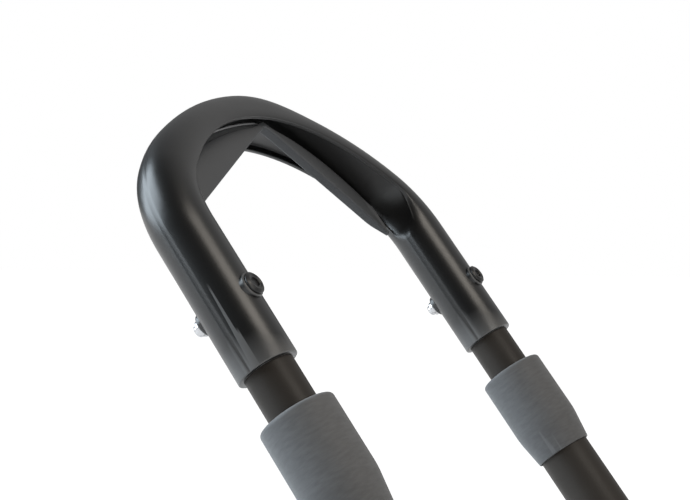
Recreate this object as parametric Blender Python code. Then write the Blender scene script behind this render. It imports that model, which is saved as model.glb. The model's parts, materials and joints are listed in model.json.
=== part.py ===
"""Roof rack for one upright bicycle, held by its front wheel.

A base stands on the front crossbar and a slider on the rear one, with an aluminium
wheel tray between them. A folding cradle leans on the back of the front tyre, and a
telescoping arm with a U-shaped hook reaches over the tyre's front and pulls it down.
The model is in metres, +Z up, with the front of the bicycle towards -X. The origin is
below the middle of the tray, at the height of the clamps' undersides.
"""
import math

import bmesh
import bpy
from mathutils import Matrix, Vector

# Gaps between neighbouring pieces
CLEAR = 0.0003
RUN_CLEAR = 0.0003

# Rounded edges, depth of fused joins, and facets of round pieces
CAP_ROUND = 0.0008
EDGE_ROUND = 0.0010
PAD_ROUND = 0.0015
COVER_ROUND = 0.0020
FUSE_DEPTH = 0.003
HOLE_SIDES = 20
ROUND_SIDES = 24
FINE_SIDES = 28

# Bicycle wheel that the rack is made for
WHEEL_RADIUS = 0.340
WHEEL_FROM_PIVOT_X = -0.2927

# Crossbar clamps
BAR_HALF_WIDTH = 0.0425
BAR_GAP_HEIGHT = 0.034
JAW_LIP_THICKNESS = 0.008
JAW_LIP_LENGTH = 0.022
JAW_THICKNESS = 0.014
JAW_HALF_WIDTH = 0.0135
JAW_TRAVEL = 0.024
PAD_THICKNESS = 0.004
SCREW_RADIUS = 0.003
SCREW_ABOVE_FLOOR = 0.0067
NUT_THICKNESS = 0.006
NUT_HALF_WIDTH = 0.005
KNOB_RADIUS = 0.0185
KNOB_LENGTH = 0.024
KNOB_LOBES = 6
KNOB_LOBE_DEPTH = 0.0016
KNOB_HUB_RADIUS = 0.009
KNOB_HUB_LENGTH = 0.004
KNOB_CROWN = 0.003
KNOB_SOCKET = 0.0144

# Wheel tray
TRAY_LENGTH = 1.390
TRAY_WALL = 0.003
TRAY_FLOOR_HALF = 0.030
TRAY_MOUTH_HALF = 0.043
TRAY_RIM_WIDTH = 0.006
TRAY_DEPTH = 0.025
SLOT_HALF = 0.016
SLOT_MOUTH_HALF = 0.0065
SLOT_DEPTH = 0.009
END_CAP_THICKNESS = 0.005
END_CAP_PLUG = 0.012
END_CAP_MARGIN = 0.0015

# Base
PIVOT_FROM_TRAY_END = 0.498
PIVOT_ABOVE_TRAY_FLOOR = 0.0456
BAR_FROM_PIVOT = -0.048
BASE_FRONT_FROM_PIVOT = -0.103
BASE_REAR_FROM_PIVOT = 0.050
COVER_DEPTH = 0.027
BASE_FLOOR = 0.0134
JAW_FROM_BASE_SIDE = 0.021
EAR_THICKNESS = 0.018
EAR_HEAD_RADIUS = 0.0195
EAR_FOOT_RADIUS = 0.010
EAR_FRONT_FOOT = -0.060
EAR_REAR_FOOT = 0.034
COVER_HEAD_RADIUS = 0.0240
COVER_FOOT_RADIUS = 0.012
COVER_FRONT_FOOT = -0.068
COVER_REAR_FOOT = 0.036
COVER_WALL = 0.0025
COVER_STANDOFF = 0.0025
BOLT_RADIUS = 0.003
BOLT_HEAD_RADIUS = 0.0055
BOLT_HEAD_HEIGHT = 0.0035
BASE_BOLT_FROM_PIVOT = -0.020
T_NUT_LENGTH = 0.050

# Pivot
AXLE_RADIUS = 0.008
BUSH_WALL = 0.0025
BUSH_FLANGE = 0.0012
BUSH_FLANGE_WIDTH = 0.003
AXLE_CAP_RADIUS = 0.012
AXLE_CAP_THICKNESS = 0.004
AXLE_SCREW_LENGTH = 0.014

# Ratchet, release lever and lock
RATCHET_RADIUS = 0.0175
RATCHET_TOOTH_DEPTH = 0.0020
RATCHET_TEETH = 20
RATCHET_THICKNESS = 0.008
RATCHET_FROM_EAR = 0.0065
LEVER_PIN_FROM_PIVOT = (0.031, -0.0376)
LEVER_PIN_RADIUS = 0.003
LEVER_THICKNESS = 0.009
LEVER_HUB_RADIUS = 0.0065
LEVER_NOSE_RADIUS = 0.0025
LEVER_TAB_FROM_PIVOT = (0.068, -0.0300)
LEVER_TAB_RADIUS = 0.0040
LEVER_LIFT = 20.0
PAWL_CLEAR = 0.0004
PAWL_TURN = -97.0
SPRING_WIRE = 0.0006
SPRING_TURNS = 2.5
SPRING_PITCH = 0.0015
SPRING_LEG = 0.007
LOCK_RADIUS = 0.008
LOCK_FROM_PIVOT = (-0.038, -0.034)
LOCK_FROM_EAR = 0.007
LOCK_PROUD = 0.0010
LOCK_CHAMFER = 0.0008
KEY_SLOT_LENGTH = 0.009
KEY_SLOT_WIDTH = 0.0018
KEY_SLOT_DEPTH = 0.005

# Wheel cradle
CRADLE_HALF_WIDTH = 0.036
CRADLE_TUBE_RADIUS = 0.008
CRADLE_LENGTH = 0.262
CRADLE_BARREL_GAP = 0.006
CRADLE_BARREL_WALL = 0.0042
CRADLE_PAD_THICKNESS = 0.004
CRADLE_PAD_LENGTH = 0.070
CRADLE_PAD_SIDE = 0.012
CRADLE_PAD_HORN = 0.018
CRADLE_PAD_SIDE_FALL = 0.0054
CRADLE_PAD_POCKET = 0.022

# Arm: distances along the legs are measured from the pivot
ARM_LEAN = 36.85
LEG_SPACING = 0.2294
YOKE_EYE_RADIUS = 0.019
YOKE_HALF_WIDTH = 0.0132
YOKE_FROM_COVER = 0.0045
YOKE_SHOULDER = 0.034
YOKE_SPIGOT = 0.041
OUTER_TUBE_RADIUS = 0.0142
OUTER_TUBE_WALL = 0.0016
OUTER_TUBE_TOP = 0.558
INNER_TUBE_RADIUS = 0.01166
INNER_TUBE_WALL = 0.0018
INNER_TUBE_BOTTOM = 0.330
COLLAR_BOTTOM = 0.528
COLLAR_TAPER_TOP = 0.5448
COLLAR_TOP = 0.5812
COLLAR_RADIUS = 0.0178
COLLAR_FOOT_RADIUS = 0.0155
COLLAR_MOUTH_RADIUS = 0.0149
COLLAR_CROWN = 0.0055
COLLET_LENGTH = 0.018
HOOK_LIP = 0.6031
HOOK_RADIUS = 0.0143
HOOK_STRAIGHT = 0.0715
HOOK_SHOULDER_RADIUS = 0.0429
HOOK_SHOULDER_TURN = 46.6
HOOK_LIP_CHAMFER = 0.0012
HOOK_SOCKET_DEPTH = 0.058
HOOK_BOLT_FROM_LIP = 0.0335
HOOK_BOSS_RADIUS = 0.0066
HOOK_BOSS_HEIGHT = 0.0022
HOOK_BOSS_ROUND = 0.0010
HOOK_BOLT_RADIUS = 0.0025
HOOK_BOLT_HEAD_RADIUS = 0.0052
HOOK_BOLT_HEAD_HEIGHT = 0.0024
HOOK_BOLT_HEAD_ROUND = 0.0010
HOOK_BOLT_SOCKET_FLOOR = 0.0008
HOOK_BOLT_SOCKET_RADIUS = 0.0024
HOOK_NUT_LENGTH = 0.006
HOOK_NUT_RADIUS = 0.0047
HOOK_NUT_DOME = 0.0018
HOOK_BOLT_IN_NUT = 0.0026
HOOK_LIP_ANGLE = 105.0
HOOK_RECESS_WALL = 0.0022
HOOK_RECESS_FLOOR = 0.0008
HOOK_CROWN_FULLNESS = 0.0017
HOOK_CROWN_SPAN = 20.0

# Tyre saddle, folded along its middle
SADDLE_PEAK = 0.7407
SADDLE_SLOPE = 29.68
SADDLE_RIDGE = 0.007
SADDLE_FOLD = 9.37
SADDLE_THICKNESS = 0.005
SADDLE_SIDE_GAP = 0.0008
SADDLE_TOP_MARGIN = 0.002
SADDLE_SEAT_CLEAR = 0.0005

# Rear crossbar slider
REAR_BAR_FROM_TRAY_END = 0.225
REAR_JAW_Y = -0.055
REAR_PLATE_INNER_Y = 0.030
REAR_PLATE_MARGIN = 0.004
REAR_PLATE_END = 0.014

# Rear wheel chock and strap
CHOCK_FROM_TRAY_END = 0.095
CHOCK_LENGTH = 0.090
CHOCK_DIP = 0.009
CHOCK_VALLEY_HALF = 0.0132
CHOCK_VALLEY_RISE = 0.003
CHOCK_SHOULDER = 0.022
CHOCK_CREST_SETBACK = 0.0086
CHOCK_ARM_THICKNESS = 0.006
CHOCK_ARM_HALF = 0.0545
CHOCK_ARM_DROP = 0.014
CHOCK_ARM_WIDTH = 0.036
STRAP_WIDTH = 0.025
STRAP_THICKNESS = 0.003
STRAP_LOOP_RISE = 0.0576
STRAP_END_DROP = 0.010
STRAP_PEG_RADIUS = 0.004
STRAP_PEG_FROM_TOP = 0.0049
STRAP_PEG_PROUD = 0.0020
BUCKLE_PLATE = 0.002
BUCKLE_CHEEK = 0.0024
BUCKLE_DEPTH = 0.0175
BUCKLE_HALF_HEIGHT = 0.015
BUCKLE_PIN_RADIUS = 0.0015
BUCKLE_PIN_OUT = 0.011
BUCKLE_HUB_RADIUS = 0.0045
BUCKLE_HANDLE = 0.028
BUCKLE_HANDLE_OUT = 0.003
BUCKLE_TIP_RADIUS = 0.0025

# Heights and places that follow from the sizes above
BAR_TOP = JAW_LIP_THICKNESS + BAR_GAP_HEIGHT
PLATE_BOTTOM = BAR_TOP + PAD_THICKNESS + CLEAR
PLATE_TOP = PLATE_BOTTOM + BASE_FLOOR
SCREW_Z = PLATE_BOTTOM + SCREW_ABOVE_FLOOR
TRAY_BOTTOM = PLATE_TOP + CLEAR
SLOT_FLOOR = TRAY_BOTTOM + TRAY_WALL
TRAY_UNDERSIDE = SLOT_FLOOR + SLOT_DEPTH
TRAY_FLOOR = TRAY_UNDERSIDE + TRAY_WALL
TRAY_RIM = TRAY_FLOOR + TRAY_DEPTH
PIVOT_X = -TRAY_LENGTH / 2 + PIVOT_FROM_TRAY_END
PIVOT_Z = TRAY_FLOOR + PIVOT_ABOVE_TRAY_FLOOR
BAR_X = PIVOT_X + BAR_FROM_PIVOT
REAR_BAR_X = TRAY_LENGTH / 2 - REAR_BAR_FROM_TRAY_END
CHOCK_X = TRAY_LENGTH / 2 - CHOCK_FROM_TRAY_END
LEG_Y = LEG_SPACING / 2
BASE_HALF_WIDTH = LEG_Y - YOKE_HALF_WIDTH - YOKE_FROM_COVER
FRONT_JAW_Y = BASE_HALF_WIDTH - JAW_FROM_BASE_SIDE
EAR_OUTER_Y = BASE_HALF_WIDTH - COVER_DEPTH
EAR_INNER_Y = EAR_OUTER_Y - EAR_THICKNESS
CRADLE_BARREL_HALF = EAR_INNER_Y - CRADLE_BARREL_GAP
AXLE_HALF = LEG_Y + YOKE_HALF_WIDTH
BUSH_RADIUS = AXLE_RADIUS + RUN_CLEAR + BUSH_WALL
LEVER_PIN = (PIVOT_X + LEVER_PIN_FROM_PIVOT[0], PIVOT_Z + LEVER_PIN_FROM_PIVOT[1])
LEVER_MIDDLE_Y = EAR_OUTER_Y + RATCHET_FROM_EAR + RATCHET_THICKNESS / 2

SIDES = {"left": 1, "right": -1}


def material(name, colour, roughness, metallic=0.0):
    """Makes a Principled material."""
    made = bpy.data.materials.new(name)
    made.use_nodes = True
    shader = made.node_tree.nodes["Principled BSDF"]
    shader.inputs["Base Color"].default_value = (*colour, 1.0)
    shader.inputs["Roughness"].default_value = roughness
    shader.inputs["Metallic"].default_value = metallic
    return made


def empty(name, place, lean=0.0, parent=None):
    """Adds an empty on a joint's axis, leaning by an angle about Y."""
    axis = bpy.data.objects.new(name, None)
    axis.location = place
    axis.rotation_euler = (0.0, lean, 0.0)
    axis.parent = parent
    bpy.context.collection.objects.link(axis)
    return axis


def solid(name, points, faces, look, parent=None):
    """Adds a closed mesh whose points are in its parent's space."""
    mesh = bpy.data.meshes.new(name)
    mesh.from_pydata([tuple(p) for p in points], [], faces)
    shell = bmesh.new()
    shell.from_mesh(mesh)
    bmesh.ops.recalc_face_normals(shell, faces=shell.faces)
    shell.to_mesh(mesh)
    shell.free()
    mesh.shade_smooth()
    mesh.set_sharp_from_angle(angle=math.radians(35))
    piece = bpy.data.objects.new(name, mesh)
    piece.parent = parent
    if look is not None:
        mesh.materials.append(look)
    bpy.context.collection.objects.link(piece)
    return piece


def hide_cutter(cutter):
    """Marks an object as a tool that isn't part of the model."""
    cutter.hide_render = True
    cutter.display_type = "WIRE"
    return cutter


def combine(piece, other, operation):
    """Adds a Boolean modifier that joins or cuts with another object."""
    step = piece.modifiers.new(other.name, "BOOLEAN")
    step.operation = operation
    step.solver = "EXACT"
    step.object = hide_cutter(other)


def cut(piece, *cutters):
    for cutter in cutters:
        combine(piece, cutter, "DIFFERENCE")


def fuse(piece, *others):
    for other in others:
        combine(piece, other, "UNION")


def bevel(piece, width, segments=1, angle=40):
    """Rounds the edges that are sharper than an angle."""
    step = piece.modifiers.new("bevel", "BEVEL")
    step.width = width
    step.segments = segments
    step.limit_method = "ANGLE"
    step.angle_limit = math.radians(angle)


def loft(name, rings, look, parent=None, closed=False):
    """Joins rings of equal point counts into a closed solid."""
    count = len(rings[0])
    points = [p for ring in rings for p in ring]
    faces = []
    spans = len(rings) if closed else len(rings) - 1
    for i in range(spans):
        low = i * count
        high = ((i + 1) % len(rings)) * count
        for k in range(count):
            n = (k + 1) % count
            faces.append((low + k, low + n, high + n, high + k))
    if not closed:
        faces.append(tuple(range(count)))
        faces.append(tuple(range(len(points) - count, len(points))))
    return solid(name, points, faces, look, parent)


def prism(name, outline, low, high, axis, look=None, parent=None):
    """Extrudes an outline along X (outline in y, z), Y (x, z) or Z (x, y)."""
    rings = []
    for level in (low, high):
        if axis == "X":
            rings.append([(level, a, b) for a, b in outline])
        elif axis == "Y":
            rings.append([(a, level, b) for a, b in outline])
        else:
            rings.append([(a, b, level) for a, b in outline])
    return loft(name, rings, look, parent)


def box(name, low, high, look=None, parent=None):
    outline = [(low[0], low[1]), (high[0], low[1]), (high[0], high[1]), (low[0], high[1])]
    return prism(name, outline, low[2], high[2], "Z", look, parent)


def along(axis, place):
    """Gives the matrix that lays a turned piece's own Z along an axis."""
    turn = {
        "X": Matrix.Rotation(math.radians(90), 4, "Y"),
        "Y": Matrix.Rotation(math.radians(-90), 4, "X"),
        "Z": Matrix.Identity(4),
    }[axis]
    return Matrix.Translation(place) @ turn


def turned(name, profile, place, axis="Z", look=None, parent=None, sides=ROUND_SIDES, ring=False):
    """Turns a profile of (radius, height) points about its own Z.

    With ring, the profile is a closed loop clear of the axis; otherwise it runs from
    one end face to the other.
    """
    frame = along(axis, place)
    rings = []
    for radius, height in profile:
        circle = []
        for k in range(sides):
            turn = 2 * math.pi * k / sides
            circle.append(frame @ Vector((radius * math.cos(turn), radius * math.sin(turn), height)))
        rings.append(circle)
    return loft(name, rings, look, parent, closed=ring)


def rod(name, radius, low, high, place, axis="Z", look=None, parent=None, sides=ROUND_SIDES):
    """Makes a plain cylinder between two heights on its own axis."""
    return turned(name, [(radius, low), (radius, high)], place, axis, look, parent, sides)


def pipe(name, radius, wall, low, high, place, axis="Z", look=None, parent=None, sides=ROUND_SIDES):
    """Makes a tube with a bore."""
    bore = radius - wall
    profile = [(radius, low), (radius, high), (bore, high), (bore, low)]
    return turned(name, profile, place, axis, look, parent, sides, ring=True)


def circle_points(centre, radius, sides):
    points = []
    for k in range(sides):
        turn = 2 * math.pi * k / sides
        points.append((centre[0] + radius * math.cos(turn), centre[1] + radius * math.sin(turn)))
    return points


def hull(circles, inset=0.0, sides=20):
    """Gives the convex outline round circles of (a, b, radius), drawn in by an inset."""
    cloud = []
    for a, b, radius in circles:
        cloud += circle_points((a, b), radius - inset, sides)
    cloud = sorted(set((round(a, 7), round(b, 7)) for a, b in cloud))
    halves = []
    for run in (cloud, cloud[::-1]):
        chain = []
        for p in run:
            while len(chain) > 1:
                ax, ay = chain[-1][0] - chain[-2][0], chain[-1][1] - chain[-2][1]
                bx, by = p[0] - chain[-1][0], p[1] - chain[-1][1]
                if ax * by - ay * bx > 1e-10:
                    break
                chain.pop()
            chain.append(p)
        halves += chain[:-1]
    return halves


def mirrored(half):
    """Completes a symmetrical outline from its half at positive a."""
    other = [(-a, b) for a, b in reversed(half) if abs(a) > 1e-9]
    return half + other


def tube_path(name, path, radius, look, parent, sides=12):
    """Sweeps a circle along a path that stays in the parent's YZ plane."""
    rings = []
    for i, (y, z) in enumerate(path):
        before = path[max(i - 1, 0)]
        after = path[min(i + 1, len(path) - 1)]
        span = math.hypot(after[0] - before[0], after[1] - before[1])
        out = ((before[1] - after[1]) / span, (after[0] - before[0]) / span)
        ring = []
        for k in range(sides):
            turn = 2 * math.pi * k / sides
            u, n = radius * math.cos(turn), radius * math.sin(turn)
            ring.append((n, y + u * out[0], z + u * out[1]))
        rings.append(ring)
    return loft(name, rings, look, parent)


# Finishes
BLACK_PLASTIC = material("black_plastic", (0.030, 0.030, 0.032), 0.38)
BLACK_PAINT = material("black_paint", (0.020, 0.020, 0.021), 0.32)
GREY_SOFT = material("grey_soft_touch", (0.150, 0.152, 0.158), 0.62)
GREY_PLASTIC = material("grey_plastic", (0.090, 0.090, 0.094), 0.50)
RUBBER = material("rubber", (0.035, 0.035, 0.036), 0.80)
ALUMINIUM = material("aluminium", (0.60, 0.61, 0.63), 0.35, 1.0)
STEEL = material("steel", (0.55, 0.55, 0.56), 0.30, 1.0)
BRONZE = material("bush_polymer", (0.55, 0.50, 0.40), 0.55)


def tray_outline():
    """Section of the wheel channel with the T-slot under its floor."""
    wall_top = TRAY_MOUTH_HALF + TRAY_RIM_WIDTH
    half = [
        (TRAY_FLOOR_HALF, TRAY_FLOOR),
        (TRAY_MOUTH_HALF, TRAY_RIM),
        (wall_top, TRAY_RIM),
        (wall_top, TRAY_RIM - TRAY_WALL),
        (TRAY_MOUTH_HALF + TRAY_WALL, TRAY_RIM - TRAY_WALL),
        (TRAY_FLOOR_HALF + TRAY_WALL, TRAY_UNDERSIDE),
        (SLOT_HALF + TRAY_WALL, TRAY_UNDERSIDE),
        (SLOT_HALF + TRAY_WALL, TRAY_BOTTOM),
        (SLOT_MOUTH_HALF, TRAY_BOTTOM),
        (SLOT_MOUTH_HALF, SLOT_FLOOR),
        (SLOT_HALF, SLOT_FLOOR),
        (SLOT_HALF, TRAY_UNDERSIDE),
    ]
    return mirrored(half)


def build_tray():
    half_length = TRAY_LENGTH / 2
    prism("wheel_tray", tray_outline(), -half_length, half_length, "X", ALUMINIUM)
    for name, side in (("tray_front_cap", -1), ("tray_rear_cap", 1)):
        build_end_cap(name, side, half_length)


def build_end_cap(name, side, half_length):
    """Closes an end of the tray; a plug holds it in the T-slot."""
    rim = TRAY_MOUTH_HALF + TRAY_RIM_WIDTH + END_CAP_MARGIN
    half = [
        (TRAY_FLOOR_HALF, TRAY_FLOOR + TRAY_WALL),
        (TRAY_MOUTH_HALF - TRAY_WALL, TRAY_RIM + END_CAP_MARGIN),
        (rim, TRAY_RIM + END_CAP_MARGIN),
        (rim, TRAY_RIM - TRAY_WALL - END_CAP_MARGIN),
        (TRAY_FLOOR_HALF + TRAY_WALL + END_CAP_MARGIN, TRAY_UNDERSIDE - END_CAP_MARGIN),
        (SLOT_HALF + TRAY_WALL + END_CAP_MARGIN, TRAY_BOTTOM - END_CAP_MARGIN),
    ]
    near = side * (half_length + CLEAR)
    far = side * (half_length + CLEAR + END_CAP_THICKNESS)
    cap = prism(name, mirrored(half), min(near, far), max(near, far), "X", BLACK_PLASTIC)
    bevel(cap, CAP_ROUND)
    inner = side * (half_length - END_CAP_PLUG)
    root = near + side * END_CAP_THICKNESS / 2
    plug = box(
        name + "_plug",
        (min(inner, root), -SLOT_HALF + CLEAR, SLOT_FLOOR + CLEAR),
        (max(inner, root), SLOT_HALF - CLEAR, TRAY_UNDERSIDE - CLEAR),
    )
    fuse(cap, plug)


def jaw_outline(face, away, top):
    """L-shaped outline in x and z of a hook under the bar.

    face is the side that meets the bar and away points from the bar to the hook.
    """
    tip = face - away * JAW_LIP_LENGTH
    back = face + away * JAW_THICKNESS
    lip = JAW_LIP_THICKNESS
    return [(face, top), (face, lip), (tip, lip), (tip, 0.0), (back, 0.0), (back, top)]


def jaw_notch(name, bar_x, jaw_y, plate_front, parent=None):
    """Cutter for the guide that the moving jaw slides in."""
    end = bar_x - BAR_HALF_WIDTH + JAW_TRAVEL + CLEAR
    side = JAW_HALF_WIDTH + CLEAR
    low = (plate_front - JAW_THICKNESS, jaw_y - side, PLATE_BOTTOM - PAD_THICKNESS)
    high = (end, jaw_y + side, PLATE_TOP + PAD_THICKNESS)
    return box(name, low, high, None, parent)


def build_clamp(prefix, suffix, bar_x, jaw_y, plate_rear, slider=None):
    """Makes one clamp's jaw, captive nut, screw and knob, and returns the plate's cutters."""
    rest = bar_x - BAR_HALF_WIDTH
    jaw_axis = empty(prefix + "jaw_axis" + suffix, (0, 0, 0), 0.0, slider)
    jaw = prism(
        prefix + "jaw" + suffix,
        jaw_outline(rest, -1, PLATE_TOP),
        jaw_y - JAW_HALF_WIDTH,
        jaw_y + JAW_HALF_WIDTH,
        "Y",
        BLACK_PAINT,
        jaw_axis,
    )
    middle = rest - JAW_THICKNESS / 2
    half_pocket = NUT_THICKNESS / 2 + CLEAR
    pocket_side = NUT_HALF_WIDTH + CLEAR
    pocket = box(
        prefix + "jaw_pocket" + suffix,
        (middle - half_pocket, jaw_y - pocket_side, SCREW_Z - pocket_side),
        (middle + half_pocket, jaw_y + pocket_side, PLATE_TOP + PAD_THICKNESS),
        None,
        jaw_axis,
    )
    hole_radius = SCREW_RADIUS + RUN_CLEAR
    jaw_hole = rod(
        prefix + "jaw_hole" + suffix, hole_radius, -JAW_THICKNESS, JAW_THICKNESS,
        (middle, jaw_y, SCREW_Z), "X", None, jaw_axis, HOLE_SIDES,
    )
    bevel(jaw, EDGE_ROUND)
    cut(jaw, pocket, jaw_hole)

    nut = box(
        prefix + "jaw_nut" + suffix,
        (middle - NUT_THICKNESS / 2, jaw_y - NUT_HALF_WIDTH, SCREW_Z - NUT_HALF_WIDTH),
        (middle + NUT_THICKNESS / 2, jaw_y + NUT_HALF_WIDTH, SCREW_Z + NUT_HALF_WIDTH),
        STEEL,
        jaw_axis,
    )
    nut_hole = rod(
        prefix + "nut_hole" + suffix, hole_radius, -NUT_THICKNESS, NUT_THICKNESS,
        (middle, jaw_y, SCREW_Z), "X", None, jaw_axis, HOLE_SIDES,
    )
    cut(nut, nut_hole)

    knob_axis = empty(prefix + "knob_axis" + suffix, (plate_rear, jaw_y, SCREW_Z), 0.0, slider)
    rod(
        prefix + "screw" + suffix, SCREW_RADIUS, rest - JAW_THICKNESS - plate_rear,
        KNOB_HUB_LENGTH + KNOB_SOCKET, (0, 0, 0), "X", STEEL, knob_axis, HOLE_SIDES,
    )
    knob = loft(prefix + "knob" + suffix, knob_rings(), BLACK_PLASTIC, knob_axis)
    knob_socket = rod(
        prefix + "knob_socket" + suffix, SCREW_RADIUS + CLEAR, -KNOB_HUB_LENGTH,
        KNOB_HUB_LENGTH + KNOB_SOCKET + CLEAR, (0, 0, 0), "X", None, knob_axis, HOLE_SIDES,
    )
    cut(knob, knob_socket)

    length = plate_rear - rest
    return rod(
        prefix + "screw_hole" + suffix, hole_radius, -length - JAW_THICKNESS, JAW_THICKNESS,
        (plate_rear, jaw_y, SCREW_Z), "X", None, slider, HOLE_SIDES,
    )


def knob_rings():
    """Rings of a lobed knob with a round hub, along its own X from the plate."""
    start = CLEAR
    hub_end = start + KNOB_HUB_LENGTH
    stations = [
        (start, KNOB_HUB_RADIUS, 0.0),
        (hub_end, KNOB_HUB_RADIUS, 0.0),
        (hub_end, KNOB_RADIUS - KNOB_CROWN / 2, 0.8),
        (hub_end + KNOB_CROWN / 2, KNOB_RADIUS, 1.0),
        (hub_end + KNOB_LENGTH - KNOB_CROWN, KNOB_RADIUS, 1.0),
        (hub_end + KNOB_LENGTH, KNOB_RADIUS - KNOB_CROWN, 0.6),
    ]
    sides = KNOB_LOBES * 6
    rings = []
    for x, radius, lobe in stations:
        ring = []
        for k in range(sides):
            turn = 2 * math.pi * k / sides
            r = radius - KNOB_LOBE_DEPTH * lobe * (1 - math.cos(KNOB_LOBES * turn)) / 2
            ring.append((x, r * math.cos(turn), r * math.sin(turn)))
        rings.append(ring)
    return rings


def bar_pad(name, bar_x, y_low, y_high, parent=None):
    """Rubber strip that the crossbar presses on."""
    front = bar_x - BAR_HALF_WIDTH + JAW_TRAVEL + CLEAR
    low = (front, y_low, BAR_TOP)
    high = (bar_x + BAR_HALF_WIDTH - CLEAR, y_high, BAR_TOP + PAD_THICKNESS)
    return box(name, low, high, RUBBER, parent)


def plate_bolt(name, x, parent=None):
    """Bolt that draws the plate to the nut in the tray's slot."""
    top = TRAY_UNDERSIDE - 2 * CLEAR
    seat = PLATE_BOTTOM + BOLT_HEAD_HEIGHT
    profile = [
        (BOLT_HEAD_RADIUS, PLATE_BOTTOM),
        (BOLT_HEAD_RADIUS, seat),
        (BOLT_RADIUS, seat),
        (BOLT_RADIUS, top),
    ]
    return turned(name, profile, (x, 0, 0), "Z", STEEL, parent)


def plate_bolt_hole(name, x, parent=None):
    seat = PLATE_BOTTOM + BOLT_HEAD_HEIGHT + CLEAR
    profile = [
        (BOLT_HEAD_RADIUS + CLEAR, PLATE_BOTTOM - PAD_THICKNESS),
        (BOLT_HEAD_RADIUS + CLEAR, seat),
        (BOLT_RADIUS + CLEAR, seat),
        (BOLT_RADIUS + CLEAR, TRAY_FLOOR),
    ]
    return turned(name, profile, (x, 0, 0), "Z", None, parent)


def slot_nut(name, x, parent=None):
    """Nut block that fills the tray's T-slot."""
    low = (x - T_NUT_LENGTH / 2, -SLOT_HALF + CLEAR, SLOT_FLOOR + CLEAR)
    high = (x + T_NUT_LENGTH / 2, SLOT_HALF - CLEAR, TRAY_UNDERSIDE - CLEAR)
    nut = box(name, low, high, STEEL, parent)
    cut(nut, plate_bolt_hole(name + "_hole", x, parent))
    return nut


def side_outline(head_radius, foot_radius, front, rear, floor, inset=0.0):
    """Outline in x and z of an ear or a cover, from the pivot down to the floor."""
    foot_z = floor + foot_radius
    circles = [
        (PIVOT_X, PIVOT_Z, head_radius),
        (PIVOT_X + front, foot_z, foot_radius),
        (PIVOT_X + rear, foot_z, foot_radius),
    ]
    return hull(circles, inset)


def build_base():
    """Cast base: floor plate, two ears for the axle and two fixed hooks for the bar."""
    front = PIVOT_X + BASE_FRONT_FROM_PIVOT
    rear = PIVOT_X + BASE_REAR_FROM_PIVOT
    base = box(
        "base_housing",
        (front, -BASE_HALF_WIDTH, PLATE_BOTTOM),
        (rear, BASE_HALF_WIDTH, PLATE_TOP),
        BLACK_PAINT,
    )
    ear_outline = side_outline(
        EAR_HEAD_RADIUS, EAR_FOOT_RADIUS, EAR_FRONT_FOOT, EAR_REAR_FOOT, PLATE_TOP - FUSE_DEPTH
    )
    for word, side in SIDES.items():
        inner, outer = side * EAR_INNER_Y, side * EAR_OUTER_Y
        ear = prism("ear_" + word, ear_outline, min(inner, outer), max(inner, outer), "Y")
        hook = prism(
            "fixed_hook_" + word,
            jaw_outline(BAR_X + BAR_HALF_WIDTH, 1, PLATE_BOTTOM + FUSE_DEPTH),
            side * FRONT_JAW_Y - JAW_HALF_WIDTH,
            side * FRONT_JAW_Y + JAW_HALF_WIDTH,
            "Y",
        )
        fuse(base, ear, hook)
    for word, side in SIDES.items():
        jaw_y = side * FRONT_JAW_Y
        cut(base, jaw_notch("notch_" + word, BAR_X, jaw_y, front))
        cut(base, build_clamp("front_", "_" + word, BAR_X, jaw_y, rear))
        pad_low = jaw_y - JAW_HALF_WIDTH
        bar_pad("front_bar_pad_" + word, BAR_X, pad_low, pad_low + 2 * JAW_HALF_WIDTH)
    bore = rod(
        "ear_bore", BUSH_RADIUS + CLEAR, -EAR_OUTER_Y - EAR_THICKNESS, EAR_OUTER_Y + EAR_THICKNESS,
        (PIVOT_X, 0, PIVOT_Z), "Y",
    )
    pin_hole = rod(
        "lever_pin_hole", LEVER_PIN_RADIUS + CLEAR, EAR_OUTER_Y - EAR_THICKNESS / 2,
        EAR_OUTER_Y + EAR_THICKNESS, (LEVER_PIN[0], 0, LEVER_PIN[1]), "Y", None, None, HOLE_SIDES,
    )
    bolt_x = PIVOT_X + BASE_BOLT_FROM_PIVOT
    cut(base, bore, pin_hole, plate_bolt_hole("base_bolt_hole", bolt_x))
    plate_bolt("base_bolt", bolt_x)
    slot_nut("base_slot_nut", bolt_x)

    for word, side in SIDES.items():
        build_bush(word, side)
        build_cover(word, side)


def build_bush(word, side):
    """Flanged sleeve between the ear and the axle; its flange is inside the ear."""
    bore = AXLE_RADIUS + RUN_CLEAR
    flange = BUSH_RADIUS + BUSH_FLANGE_WIDTH
    inner = EAR_INNER_Y - CLEAR
    profile = [
        (bore, inner - BUSH_FLANGE),
        (flange, inner - BUSH_FLANGE),
        (flange, inner),
        (BUSH_RADIUS, inner),
        (BUSH_RADIUS, EAR_OUTER_Y),
        (bore, EAR_OUTER_Y),
    ]
    profile = [(r, side * y) for r, y in profile]
    turned("axle_bush_" + word, profile, (PIVOT_X, 0, PIVOT_Z), "Y", BRONZE, None, ring=True)


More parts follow.
